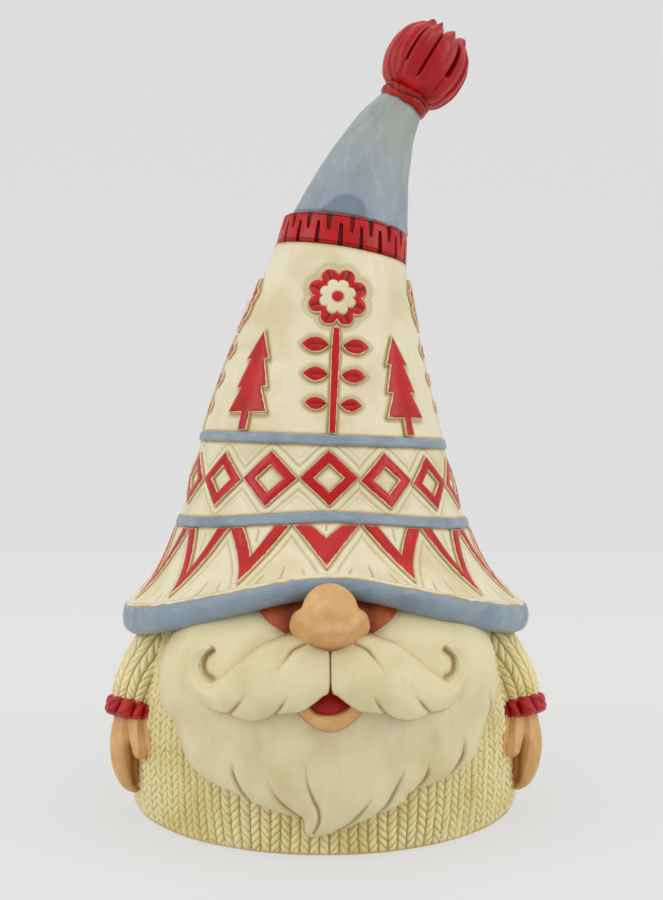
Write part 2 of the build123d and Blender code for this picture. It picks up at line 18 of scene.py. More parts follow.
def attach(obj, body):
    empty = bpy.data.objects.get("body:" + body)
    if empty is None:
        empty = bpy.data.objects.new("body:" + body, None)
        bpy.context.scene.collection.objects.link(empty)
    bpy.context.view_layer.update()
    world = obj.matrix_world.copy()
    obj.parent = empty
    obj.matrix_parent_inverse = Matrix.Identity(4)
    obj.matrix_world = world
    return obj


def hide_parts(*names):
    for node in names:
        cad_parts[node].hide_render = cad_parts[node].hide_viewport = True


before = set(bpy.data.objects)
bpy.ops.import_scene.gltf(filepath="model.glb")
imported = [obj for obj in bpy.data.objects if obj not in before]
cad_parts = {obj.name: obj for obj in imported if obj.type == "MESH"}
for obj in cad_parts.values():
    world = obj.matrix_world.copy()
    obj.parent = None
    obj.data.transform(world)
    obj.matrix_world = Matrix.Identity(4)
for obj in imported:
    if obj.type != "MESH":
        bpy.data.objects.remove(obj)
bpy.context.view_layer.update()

MM = 0.001
TURN = 2 * pi

# Hat rings of the CAD source: (centre x, z at the sides, radius, extra height at the front, tilt)
BRIM = (0.0, 54.3, 55.2, 12.8, 0.0)
LOWER_BAND = (-0.7, 76.3, 40.2, 3.5, 0.5)
UPPER_BAND = (-0.6, 98.9, 33.9, 0.0, 2.0)
CROWN = (4.5, 150.6, 18.2, 0.0, 9.0)
BACK_ARCH = 0.15
ARCH_SOFTNESS = 0.22
SHOULDER_Z = 62.0  # flat ledge that the hat stands on
BAND_HALF = 1.4
UNITS_ROUND = 15
FLOWERS_ROUND = 4
FLOWER_TURN = radians(2.0)
DIAMOND_TURN = radians(0.5)
ZIGZAG_TURN = radians(-0.6)
TREE_TURNS = [radians(turn) for turn in (41.0, 138.0, 222.0, 319.5)]
FLOWER_LEAN = radians(3.4)
LEAN_FOOT = 101.0  # height that a flower leans about
RELIEF = 0.55  # how far the motifs stand off the hat


# ---------------------------------------------------------------- small maths
def smooth(low, high, x):
    t = np.clip((x - low) / (high - low), 0.0, 1.0)
    return t * t * (3 - 2 * t)


def bell(x, width):
    return np.exp(-((x / width) ** 2))


def hashed(i, j, k, seed):
    """A repeatable number from 0 to 1 for each whole-number cell."""
    n = np.sin(i * 127.1 + j * 311.7 + k * 74.7 + seed * 53.3) * 43758.5453
    return n - np.floor(n)


def value_noise(points, size, seed=0):
    """Smooth noise from -1 to 1 in cells of size millimetres; points is (..., 3)."""
    p = np.asarray(points, float) / size
    cell = np.floor(p)
    f = p - cell
    f = f * f * (3 - 2 * f)
    total = 0.0
    for a in (0, 1):
        for b in (0, 1):
            for c in (0, 1):
                weight = np.ones(p.shape[:-1])
                for axis, corner in enumerate((a, b, c)):
                    weight = weight * (f[..., axis] if corner else 1 - f[..., axis])
                corner_value = hashed(cell[..., 0] + a, cell[..., 1] + b, cell[..., 2] + c, seed)
                total = total + weight * corner_value
    return total * 2 - 1


def wrapped(angle, period):
    """angle brought into half a period either side of 0."""
    return (angle + period / 2) % period - period / 2


def resampled(loop, step):
    """The corners of a closed polyline kept, with more points so that no gap is over step."""
    made = []
    for start, end in zip(loop, np.roll(loop, -1, axis=0)):
        count = max(1, ceil(np.linalg.norm(end - start) / step))
        made += [start + (end - start) * i / count for i in range(count)]
    return np.array(made)


def distance(x, y, line, closed=True):
    """Distance of each point (x, y) from a polyline."""
    ends = np.vstack([line, line[:1]]) if closed else np.asarray(line, float)
    best = np.full(np.shape(x), 1e9)
    for (ax, ay), (bx, by) in zip(ends[:-1], ends[1:]):
        dx, dy = bx - ax, by - ay
        t = np.clip(((x - ax) * dx + (y - ay) * dy) / (dx * dx + dy * dy + 1e-12), 0, 1)
        best = np.minimum(best, (x - ax - t * dx) ** 2 + (y - ay - t * dy) ** 2)
    return np.sqrt(best)


def inside(x, y, loop):
    """True for each point (x, y) inside a closed polyline."""
    flips = np.zeros(np.shape(x), int)
    for (ax, ay), (bx, by) in zip(loop, np.roll(loop, -1, axis=0)):
        crosses = (ay > y) != (by > y)
        with np.errstate(divide="ignore", invalid="ignore"):
            at = ax + (y - ay) * (bx - ax) / (by - ay)
        flips += crosses & (x < at)
    return flips % 2 == 1


def outside_distance(x, y, loop):
    """Distance from a closed shape, negative inside it."""
    d = distance(x, y, loop)
    return np.where(inside(x, y, loop), -d, d)


def spline(a, b, c, d, t):
    """The Catmull-Rom curve from b to c as t goes from 0 to 1."""
    bend, twist = 2 * a - 5 * b + 4 * c - d, 3 * b - a - 3 * c + d
    return 0.5 * (2 * b + (c - a) * t + bend * t**2 + twist * t**3)


def catmull(points, count):
    """count points on a smooth open curve through points."""
    given = np.array(points, float)
    p = np.vstack([2 * given[0] - given[1], given, 2 * given[-1] - given[-2]])
    spans = len(points) - 1
    made = []
    for s in np.linspace(0, spans, count):
        i = min(int(s), spans - 1)
        made.append(spline(*p[i : i + 4], s - i))
    return np.array(made)


def unit_vectors(v):
    return v / (np.linalg.norm(v, axis=-1, keepdims=True) + 1e-9)


# ---------------------------------------------------------------- meshes
def make_piece(name, points, faces, material, replaces, values):
    """A piece on the root body from points in millimetres, with its float attributes."""
    mesh = bpy.data.meshes.new(name)
    mesh.from_pydata((np.asarray(points, float) * MM).tolist(), [], faces)
    for key, numbers in values.items():
        attribute = mesh.attributes.new(key, "FLOAT", "POINT")
        attribute.data.foreach_set("value", np.asarray(numbers, np.float32).ravel())
    mesh.polygons.foreach_set("use_smooth", [True] * len(mesh.polygons))
    mesh.materials.append(material)
    mesh.update()
    piece = bpy.data.objects.new(name, mesh)
    bpy.context.scene.collection.objects.link(piece)
    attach(piece, "root")
    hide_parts(*replaces)


def grid_faces(rows, columns, wrap_rows=False):
    """Quads of a grid whose columns run anticlockwise seen from outside and rows run up."""
    r = np.arange(rows if wrap_rows else rows - 1)[:, None]
    c = np.arange(columns)[None, :]
    r2, c2 = (r + 1) % rows, (c + 1) % columns
    quads = np.stack([r * columns + c, r * columns + c2, r2 * columns + c2, r2 * columns + c], axis=-1)
    return quads.reshape(-1, 4).tolist()


# ---------------------------------------------------------------- materials
class Shader:
    """Short calls for building one node material."""

    def __init__(self, name):
        self.material = bpy.data.materials.new(name)
        self.material.use_nodes = True
        self.tree = self.material.node_tree
        self.tree.nodes.clear()
        self.output = self.node("ShaderNodeOutputMaterial")
        self.surface = self.node("ShaderNodeBsdfPrincipled")
        self.link(self.surface.outputs["BSDF"], self.output.inputs["Surface"])
        self.place = self.node("ShaderNodeTexCoord").outputs["Object"]

    def node(self, kind, **settings):
        made = self.tree.nodes.new(kind)
        for key, value in settings.items():
            setattr(made, key, value)
        return made

    def link(self, source, target):
        self.tree.links.new(source, target)

    def feed(self, target, value):
        """A socket or a plain value into an input."""
        if isinstance(value, bpy.types.NodeSocket):
            self.link(value, target)
        else:
            target.default_value = value

    def attribute(self, name):
        return self.node("ShaderNodeAttribute", attribute_name=name).outputs["Fac"]

    def maths(self, operation, a, b, clamp=False):
        made = self.node("ShaderNodeMath", operation=operation, use_clamp=clamp)
        self.feed(made.inputs[0], a)
        self.feed(made.inputs[1], b)
        return made.outputs[0]

    def noise(self, size_mm, detail, stretch=(1, 1, 1)):
        """Noise from 0 to 1 with features of about size_mm."""
        mapping = self.node("ShaderNodeMapping")
        mapping.inputs["Scale"].default_value = [s / (size_mm * MM) for s in stretch]
        self.link(self.place, mapping.inputs["Vector"])
        made = self.node("ShaderNodeTexNoise")
        made.inputs["Scale"].default_value = 1.0
        made.inputs["Detail"].default_value = detail
        self.link(mapping.outputs[0], made.inputs["Vector"])
        return made.outputs["Fac"]

    def step(self, value, low, high):
        """0 below low and 1 above high."""
        made = self.node("ShaderNodeMapRange", interpolation_type="SMOOTHSTEP")
        self.feed(made.inputs["Value"], value)
        made.inputs["From Min"].default_value = low
        made.inputs["From Max"].default_value = high
        return made.outputs["Result"]

    def mix(self, a, b, share):
        made = self.node("ShaderNodeMix", data_type="RGBA")
        self.feed(made.inputs[0], share)
        self.feed(made.inputs[6], a)
        self.feed(made.inputs[7], b)
        return made.outputs[2]

    def tint(self, colour, other, value, low, high, most=1.0):
        """colour turned towards other, by most at most, as value passes from low to high."""
        return self.mix(colour, other, self.maths("MULTIPLY", self.step(value, low, high), most))

    def antiqued_and_shaded(self, colour, dark, most):
        """colour turned dark where the mesh's darkening attribute marks it: antiquing in the cuts on some
        pieces, painted shade on others.
        """
        return self.mix(colour, dark, self.maths("MULTIPLY", self.attribute("antiquing_and_shade"), most, clamp=True))

    def bump(self, height, strength, distance_mm):
        made = self.node("ShaderNodeBump")
        made.inputs["Strength"].default_value = strength
        made.inputs["Distance"].default_value = distance_mm * MM
        self.feed(made.inputs["Height"], height)
        return made.outputs["Normal"]

    def finish(self, colour, roughness, normal=None, coat=0.0, coat_roughness=0.15, specular=0.4):
        self.feed(self.surface.inputs["Base Color"], colour)
        self.feed(self.surface.inputs["Roughness"], roughness)
        self.surface.inputs["Coat Weight"].default_value = coat
        self.surface.inputs["Coat Roughness"].default_value = coat_roughness
        self.surface.inputs["Specular IOR Level"].default_value = specular
        if normal is not None:
            self.link(normal, self.surface.inputs["Normal"])
        return self.material


def linear(red, green, blue):
    """A linear colour from one as a screen shows it, 0 to 255."""
    made = []
    for value in (red, green, blue):
        s = value / 255
        made.append(s / 12.92 if s <= 0.04045 else ((s + 0.055) / 1.055) ** 2.4)
    return (*made, 1.0)


CREAM = linear(224, 215, 184)
CREAM_DARK = linear(210, 196, 154)
OCHRE = linear(172, 136, 58)
BROWN = linear(118, 82, 32)
RED = linear(174, 0, 2)
RED_DARK = linear(74, 0, 2)
RED_LIGHT = linear(192, 14, 14)
BLUE = linear(131, 146, 159)
BLUE_DARK = linear(108, 124, 140)
BLUE_LIGHT = linear(164, 174, 179)
RIM = linear(206, 184, 126)
RED_STARTS = 0.14  # millimetres in from a plate's edge
SATIN = {"coat": 0.12, "coat_roughness": 0.35}
GLOSS = {"coat_roughness": 0.2, "specular": 0.3}


def cream_paint(name, base=CREAM, shade=CREAM_DARK, antiquing_and_shade=OCHRE, deep=BROWN):
    """Cream paint, turned towards its darker colours where the mesh's darkening attribute marks it, and further
    where that passes 1: antiquing in the carved cuts, painted shade on the brim's underside.
    """
    s = Shader(name)
    broad = s.noise(14.0, 3.0)
    strokes = s.noise(2.6, 4.0, (1, 1, 0.35))
    fine = s.noise(0.5, 3.0)
    colour = s.tint(base, shade, broad, 0.42, 0.75)
    colour = s.tint(colour, shade, strokes, 0.5, 0.8, 0.45)
    uneven = s.maths("ADD", 0.72, s.maths("MULTIPLY", strokes, 0.5))
    amount = s.maths("MULTIPLY", s.attribute("antiquing_and_shade"), uneven)
    colour = s.tint(colour, antiquing_and_shade, amount, 0.0, 1.1, 0.8)
    colour = s.tint(colour, deep, amount, 1.0, 1.9, 0.75)
    height = s.maths("ADD", s.maths("MULTIPLY", strokes, 0.7), s.maths("MULTIPLY", fine, 0.3))
    rough = s.maths("ADD", 0.40, s.maths("MULTIPLY", broad, 0.18))
    return s.finish(colour, rough, s.bump(height, 0.35, 0.25), **SATIN)


def red_gloss(name):
    """Glossy red that stops short of a plate's carved edge, where cream and ochre show."""
    s = Shader(name)
    broad = s.noise(9.0, 2.0)
    inset = s.attribute("inset")
    red = s.tint(RED, RED_LIGHT, broad, 0.35, 0.8)
    red = s.antiqued_and_shaded(red, RED_DARK, 0.9)
    wander = s.maths("MULTIPLY", s.maths("SUBTRACT", s.noise(1.6, 2.0), 0.5), 0.34)
    painted = s.step(s.maths("SUBTRACT", inset, wander), RED_STARTS - 0.05, RED_STARTS + 0.05)
    rim = s.tint(RIM, CREAM, inset, 0.0, 0.06)
    rough = s.maths("SUBTRACT", 0.5, s.maths("MULTIPLY", painted, 0.22))
    bumps = s.bump(s.maths("ADD", s.noise(0.7, 3.0), broad), 0.25, 0.2)
    return s.finish(s.mix(rim, red, painted), rough, bumps, coat=0.12, **GLOSS)


def blue_strokes(s):
    """(colour, strokes) of hand-brushed blue."""
    strokes = s.noise(3.0, 4.0, (0.5, 0.5, 1.6))
    colour = s.tint(BLUE, BLUE_DARK, s.noise(11.0, 3.0), 0.45, 0.8)
    return s.tint(colour, BLUE_LIGHT, strokes, 0.5, 0.8, 0.5), strokes


def blue_paint(name):
    s = Shader(name)
    colour, strokes = blue_strokes(s)
    colour = s.tint(colour, CREAM, s.noise(0.9, 2.0), 0.76, 0.84, 0.4)
    colour = s.antiqued_and_shaded(colour, OCHRE, 0.8)
    return s.finish(colour, 0.42, s.bump(strokes, 0.35, 0.3), **SATIN)


def trim_paint(name):
    """The band blue, with the hat's cream and an ochre line past the hand-painted border."""
    s = Shader(name)
    colour, strokes = blue_strokes(s)
    colour = s.tint(colour, CREAM, s.attribute("cream"), 0.45, 0.55)
    line = s.maths("MULTIPLY", s.step(s.attribute("antiquing_and_shade"), 0.6, 1.2), s.step(strokes, 0.3, 0.6))
    colour = s.mix(colour, OCHRE, s.maths("MULTIPLY", line, 0.85))
    return s.finish(colour, 0.42, s.bump(strokes, 0.35, 0.3), **SATIN)


def tip_paint(name):
    """Blue by the rib band that turns greenish grey towards the pompom."""
    s = Shader(name)
    broad = s.noise(9.0, 3.0)
    strokes = s.noise(3.4, 4.0, (1.4, 1.4, 0.4))
    upwards = s.maths("ADD", s.attribute("height"), s.maths("MULTIPLY", broad, 0.5))
    colour = s.tint(linear(137, 150, 161), linear(154, 159, 152), upwards, 0.35, 1.05)
    colour = s.tint(colour, linear(118, 133, 145), broad, 0.5, 0.75, 0.6)
    colour = s.tint(colour, linear(174, 179, 174), strokes, 0.5, 0.8, 0.5)
    scallop = s.maths("MULTIPLY", s.attribute("inset"), 0.75, clamp=True)
    colour = s.mix(colour, linear(102, 117, 130), scallop)
    # painted shadow: dark greenish brown where the tip runs under the pompom collar
    colour = s.antiqued_and_shaded(colour, linear(62, 54, 24), 0.85)
    return s.finish(colour, 0.44, s.bump(strokes, 0.3, 0.3), **SATIN)


def lacquer_red(name, base=RED, light=RED_LIGHT, dark=RED_DARK, coat=0.1):
    """Glossy red that turns dark in the cuts, and where some pieces mark painted shade."""
    s = Shader(name)
    broad = s.noise(6.0, 2.0)
    colour = s.tint(base, light, broad, 0.4, 0.8)
    colour = s.antiqued_and_shaded(colour, dark, 0.96)
    rough = s.maths("ADD", 0.27, s.maths("MULTIPLY", broad, 0.14))
    return s.finish(colour, rough, s.bump(s.noise(0.8, 3.0), 0.25, 0.2), coat=coat, **GLOSS)


def carved_skin(name, base, deep, light):
    """Flat knife cuts in skin colour, with painted shade, a darker colour, in the corners, hollows and
    undersides that the mesh marks.
    """
    s = Shader(name)
    broad = s.noise(5.0, 2.0)
    strokes = s.noise(1.8, 4.0, (1, 1, 0.5))
    colour = s.tint(base, light, broad, 0.4, 0.75)
    colour = s.tint(colour, deep, strokes, 0.5, 0.85, 0.15)
    # painted shade: the deep colour where the mesh marks corners, hollows and undersides
    colour = s.antiqued_and_shaded(colour, deep, 0.9)
    rough = s.maths("ADD", 0.38, s.maths("MULTIPLY", broad, 0.14))
    return s.finish(colour, rough, s.bump(strokes, 0.3, 0.2), **SATIN)


hat_cream = cream_paint("hat_cream")
motif_red = red_gloss("motif_red")
band_blue = blue_paint("band_blue")


# ---------------------------------------------------------------- hat surface
def arch(phi):
    """1 over the nose, 0 at the sides and BACK_ARCH behind."""
    soft = ARCH_SOFTNESS
    top = np.sqrt(1 + soft**2)
    rise = (top - np.sqrt(np.sin(phi) ** 2 + soft**2)) / (top - soft)
    return np.where(np.cos(phi) >= 0, rise, rise * BACK_ARCH)


def ring_height(ring, phi):
    """Height of a hat ring at phi."""
    x, z, radius, front, tilt = ring
    reach = x * np.sin(phi) + np.sqrt(radius**2 - (x * np.cos(phi)) ** 2)
    return z + front * arch(phi) - np.tan(radians(tilt)) * (reach * np.sin(phi) - x)


class HatSurface:
    """The hat's outside, read off the CAD cone into a table of radius by phi and share of height."""

    PHIS, SHARES = 360, 140

    def __init__(self):
        tree = BVHTree.FromObject(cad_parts["hat_cone"], bpy.context.evaluated_depsgraph_get())
        phis = np.arange(self.PHIS) * TURN / self.PHIS
        shares = np.linspace(0.004, 0.985, self.SHARES)
        low, high = ring_height(BRIM, phis), ring_height(CROWN, phis)
        far = 80.0
        self.table = np.zeros((self.PHIS, self.SHARES))
        for i, phi in enumerate(phis):
            out = Vector((np.sin(phi), -np.cos(phi), 0))
            for j, share in enumerate(shares):
                z = low[i] + share * (high[i] - low[i])
                start = out * far * MM + Vector((0, 0, z * MM))
                reach = tree.ray_cast(start, -out)[3]
                self.table[i, j] = far - reach / MM if reach is not None else self.table[i, j - 1]
        self.first, self.last = shares[0], shares[-1]

    def radius(self, phi, z):
        low, high = ring_height(BRIM, phi), ring_height(CROWN, phi)
        share = (z - low) / (high - low)
        a = (np.asarray(phi) / TURN % 1.0) * self.PHIS
        along = (share - self.first) / (self.last - self.first) * (self.SHARES - 1)
        b = np.clip(along, 0, self.SHARES - 1.001)
        i, j = a.astype(int) % self.PHIS, b.astype(int)
        i2 = (i + 1) % self.PHIS
        fa, fb = a - np.floor(a), b - j
        t = self.table
        lower = t[i, j] * (1 - fa) + t[i2, j] * fa
        upper = t[i, j + 1] * (1 - fa) + t[i2, j + 1] * fa
        return lower * (1 - fb) + upper * fb

    def at(self, phi, z):
        """(point, outward normal) on the hat."""
        phi, z = np.broadcast_arrays(np.asarray(phi, float), np.asarray(z, float))
        d_phi, d_z = 0.03, 0.8
        r = self.radius(phi, z)
        r_phi = (self.radius(phi + d_phi, z) - self.radius(phi - d_phi, z)) / (2 * d_phi)
        r_z = (self.radius(phi, z + d_z) - self.radius(phi, z - d_z)) / (2 * d_z)
        sin, cos = np.sin(phi), np.cos(phi)
        point = np.stack([r * sin, -r * cos, z], axis=-1)
        along = np.stack([r_phi * sin + r * cos, -r_phi * cos + r * sin, np.zeros_like(r)], axis=-1)
        up = np.stack([r_z * sin, -r_z * cos, np.ones_like(r)], axis=-1)
        normal = np.cross(along, up)
        return point, normal / np.linalg.norm(normal, axis=-1, keepdims=True)

    def phi_of(self, u, z, centre):
        """The angle whose point is u to the side of the plane at centre."""
        phi = np.full(np.shape(u), float(centre))
        for _ in range(4):
            phi = centre + np.arcsin(np.clip(u / self.radius(phi, z), -0.99, 0.99))
        return phi


hat = HatSurface()


# ---------------------------------------------------------------- raised plates on the hat
def inset_loop(loop, amount):
    """A closed loop moved to its left by amount, with short mitres."""
    before, after = loop - np.roll(loop, 1, axis=0), np.roll(loop, -1, axis=0) - loop
    before = before / np.linalg.norm(before, axis=1, keepdims=True)
    after = after / np.linalg.norm(after, axis=1, keepdims=True)
    n1 = np.stack([-before[:, 1], before[:, 0]], axis=1)
    n2 = np.stack([-after[:, 1], after[:, 0]], axis=1)
    middle = n1 + n2
    middle = middle / (np.linalg.norm(middle, axis=1, keepdims=True) + 1e-9)
    cosine = np.clip(np.sum(middle * n1, axis=1, keepdims=True), 0.55, 1.0)
    return loop + middle * amount / cosine


def turned(loop, anticlockwise):
    area = np.sum(loop[:, 0] * np.roll(loop[:, 1], -1) - np.roll(loop[:, 0], -1) * loop[:, 1])
    return loop if (area > 0) == anticlockwise else loop[::-1]


def triangulated(loops, extra):
    """Triangles of the area inside the first loop and outside the rest."""
    points = np.vstack([*loops, extra]) if len(extra) else np.vstack(loops)
    edges, first = [], 0
    for loop in loops:
        count = len(loop)
        edges += [(first + i, first + (i + 1) % count) for i in range(count)]
        first += count
    made = delaunay_2d_cdt([Vector(p) for p in points.tolist()], edges, [], 1, 1e-5)
    home = {}
    for new, olds in enumerate(made[3]):
        for old in olds:
            home[new] = min(old, home.get(new, old))
    faces = [[home[v] for v in f] for f in made[2] if all(v in home for v in f)]
    middles = np.array([points[f].mean(axis=0) for f in faces])
    keep = inside(middles[:, 0], middles[:, 1], loops[0])
    for hole in loops[1:]:
        keep &= ~inside(middles[:, 0], middles[:, 1], hole)
    return [f for f, k in zip(faces, keep) if k]


NO_POINTS = np.zeros((0, 2))
PLATE_STEPS = [(0.0, -0.9), (0.0, 0.24), (0.08, 0.43), (0.22, RELIEF)]  # (inset, height) up a plate's edge


def staggered_grid(outline, spacing):
    """Points that fill an outline's box, every second row moved by half a space."""
    low, high = outline.min(axis=0), outline.max(axis=0)
    x, z = np.meshgrid(np.arange(low[0], high[0], spacing), np.arange(low[1], high[1], spacing * 0.87))
    x = x + (np.arange(len(x)) % 2)[:, None] * spacing / 2
    return x.ravel(), z.ravel()


def plate_faces(loops, top, extra):
    """The walls up a plate's steps, its top and its hidden underside."""
    count, steps = sum(len(loop) for loop in loops), len(PLATE_STEPS) - 1
    faces, first = [], 0
    for loop in loops:
        n = len(loop)
        for k in range(steps):
            lower, upper = k * count + first, (k + 1) * count + first
            faces += [[lower + i, lower + (i + 1) % n, upper + (i + 1) % n, upper + i] for i in range(n)]
        first += n
    faces += [[v + count * steps for v in f] for f in triangulated(top, extra)]
    return faces + [f[::-1] for f in triangulated(loops, NO_POINTS)]


def plate(loops, spacing, step, shape):
    """A raised plate: points (u, z, height), faces and the inset of each point from the plate's edge.

    shape(u, z, inset) gives (extra height, wash) on the top.
    """
    loops = [turned(resampled(loop, step), i == 0) for i, loop in enumerate(loops)]
    count = sum(len(loop) for loop in loops)
    rings = [np.vstack([inset_loop(loop, inset) for loop in loops]) for inset, _ in PLATE_STEPS]
    top, first = [], 0
    for loop in loops:
        top.append(rings[-1][first:first + len(loop)])
        first += len(loop)
    gx, gz = staggered_grid(loops[0], spacing)
    clear = inside(gx, gz, top[0]) & (distance(gx, gz, top[0]) > spacing * 0.45)
    for hole in top[1:]:
        clear &= ~inside(gx, gz, hole) & (distance(gx, gz, hole) > spacing * 0.45)
    extra = np.stack([gx[clear], gz[clear]], axis=1)
    levels = [np.full(count, height) for _, height in PLATE_STEPS]
    insets = [np.full(count, inset) for inset, _ in PLATE_STEPS]
    flat = np.vstack([*rings, extra])
    level = np.concatenate([*levels, np.full(len(extra), RELIEF)])
    depth = np.full(len(extra), 1e9)
    for loop in loops:
        if len(extra):
            depth = np.minimum(depth, distance(extra[:, 0], extra[:, 1], loop))
    inset = np.concatenate([*insets, depth])
    antiquing_and_shade = np.zeros(len(flat))
    first_top = count * (len(PLATE_STEPS) - 1)
    lift, antiquing_and_shade[first_top:] = shape(flat[first_top:, 0], flat[first_top:, 1], inset[first_top:])
    level[first_top:] += lift
    return np.column_stack([flat, level]), plate_faces(loops, top, extra), inset, antiquing_and_shade


def leant(u, z, lean):
    """(u, z) with their top leant towards +u about the foot of a flower."""
    rise = z - LEAN_FOOT
    return u * np.cos(lean) + rise * np.sin(lean), LEAN_FOOT + rise * np.cos(lean) - u * np.sin(lean)


class Plates:
    """Collects the copies of a plate round the hat into one piece."""

    def __init__(self):
        self.points, self.faces, self.insets, self.washes = [], [], [], []
        self.count = 0

    def add(self, made, centre, lift=0.0, lean=0.0):
        (flat, faces, inset, antiquing_and_shade) = made
        u, z = leant(flat[:, 0], flat[:, 1], lean)
        flat = np.column_stack([u, z, flat[:, 2]])
        phi = hat.phi_of(flat[:, 0], flat[:, 1], centre)
        point, normal = hat.at(phi, flat[:, 1])
        self.points.append(point + normal * (flat[:, 2] + lift)[:, None])
        self.faces += [[v + self.count for v in f] for f in faces]
        self.insets.append(inset)
        self.washes.append(antiquing_and_shade)
        self.count += len(point)

    def build(self, name, material, slot):
        values = {"inset": np.concatenate(self.insets), "antiquing_and_shade": np.concatenate(self.washes)}
        make_piece(name, np.vstack(self.points), self.faces, material, [name], values)


# Outlines: u to the side and z up, in millimetres
FLOWER_Z = 136.4
FLOWER_RADIUS = 8.0
HEART_RADIUS = 4.8
BUTTON_RADIUS = 1.6
PETALS = 8
LOBE_SHARE = 0.3
STEM_HALF_WIDTH = 0.9
LEAF_ROWS = [(123.4, 7.4, 4.2), (115.6, 6.8, 3.9), (108.0, 6.0, 3.5)]
LEAF_GAP = 1.5
TREE_HALF = [
    (1.4, 0), (1.4, 4.6), (6.6, 4.6), (3.4, 11.2), (5.2, 11.2), (2.4, 18.6), (3.9, 18.6), (0, 26.4),
]
DIAMOND_HALF = (7.5, 7.1)
DIAMOND_HOLE = (3.7, 3.4)
ZIGZAG_STROKE = 3.4
BAND_GAP = 0.2


def rosette(radius):
    """Outline of round lobes; their notches lie on the axes."""
    lobe = radius * LOBE_SHARE
    ring = radius - lobe
    angles = np.arange(PETALS * 12) * TURN / (PETALS * 12)
    off = wrapped(angles - TURN / PETALS / 2, TURN / PETALS)
    reach = ring * np.cos(off) + np.sqrt(np.maximum(lobe**2 - (ring * np.sin(off)) ** 2, 0.02))
    return np.stack([reach * np.cos(angles), FLOWER_Z + reach * np.sin(angles)], axis=1)


def disc(radius):
    angles = np.arange(24) * TURN / 24
    return np.stack([radius * np.cos(angles), FLOWER_Z + radius * np.sin(angles)], axis=1)


def leaf_loop(x, z, length, height):
    """Two arcs that meet in a point at each end."""
    t = np.linspace(-1, 1, 15)
    upper = np.stack([x + t * length / 2, z + (1 - t**2) * height / 2], axis=1)
    lower = np.stack([x - t * length / 2, z - (1 - t**2) * height / 2], axis=1)
    return np.vstack([upper[:-1], lower[:-1]])


def leaf_loops():
    made = []
    for z, length, height in LEAF_ROWS:
        for side in (1, -1):
            made.append(leaf_loop(side * (LEAF_GAP + length / 2), z, length, height))
    return made


def band_edge(ring, phi, side):
    return float(ring_height(ring, phi)) + side * (BAND_HALF + BAND_GAP)


def stem_loop(foot):
    head, half = FLOWER_Z - FLOWER_RADIUS - BAND_GAP, STEM_HALF_WIDTH
    wide, bulge = half * 1.25, head - 6
    return np.array([(-half, foot), (half, foot), (wide, bulge), (half, head), (-half, head), (-wide, bulge)])


def tree_loop(foot):
    right = [(x, foot + h) for x, h in TREE_HALF]
    return np.array(right + [(-x, z) for x, z in reversed(right[:-1])])


def diamond_loop(half, z):
    return np.array([(half[0], z), (0, z + half[1]), (-half[0], z), (0, z - half[1])])


def zigzag_loop(at):
    """One V from the lower band to the brim."""
    unit = TURN / UNITS_ROUND
    radius = LOWER_BAND[0] * np.sin(at) + np.sqrt(LOWER_BAND[2] ** 2 - (LOWER_BAND[0] * np.cos(at)) ** 2)
    side = radius * np.tan(unit / 2) - BAND_GAP
    left, right = (band_edge(LOWER_BAND, at + turn * unit / 2, -1) for turn in (-1, 1))
    foot = float(ring_height(BRIM, at)) + 1.2
    drop = (left + right) / 2 - foot
    across = ZIGZAG_STROKE * np.hypot(side, drop) / drop
    notch = foot + 1.45 * across
    inner, slope = side - across, (right - left) / (2 * side)
    return np.array([
        (-side, left), (0, foot), (side, right),
        (inner, right - slope * across), (0, notch), (-inner, left + slope * across),
    ])


def petal_creases(u, z, inset):
    """A dark groove down the middle of each lobe."""
    x, y = u, z - FLOWER_Z
    reach = np.hypot(x, y)
    off = wrapped(np.arctan2(y, x) - TURN / PETALS / 2, TURN / PETALS) * reach
    along = smooth(HEART_RADIUS - 0.6, HEART_RADIUS + 0.3, reach) * (1 - smooth(7.1, 7.7, reach))
    groove = bell(off, 0.42) * along
    return -0.55 * groove + 0.12 * smooth(0.2, 1.2, inset), 0.85 * groove


def leaf_vein(middle, row_z):
    def shape(u, z, inset):
        groove = bell(z - row_z, 0.3) * (1 - smooth(middle * 1.1, middle * 1.35, np.abs(u)))
        return -0.35 * groove + 0.1 * smooth(0.1, 0.8, inset), 0.8 * groove
    return shape


def stem_ridge(u, z, inset):
    return -0.15 * smooth(0.3, 0.9, np.abs(u)), 0.0 * u


def slightly_domed(u, z, inset):
    return 0.12 * smooth(0.2, 1.4, inset), 0.0 * u


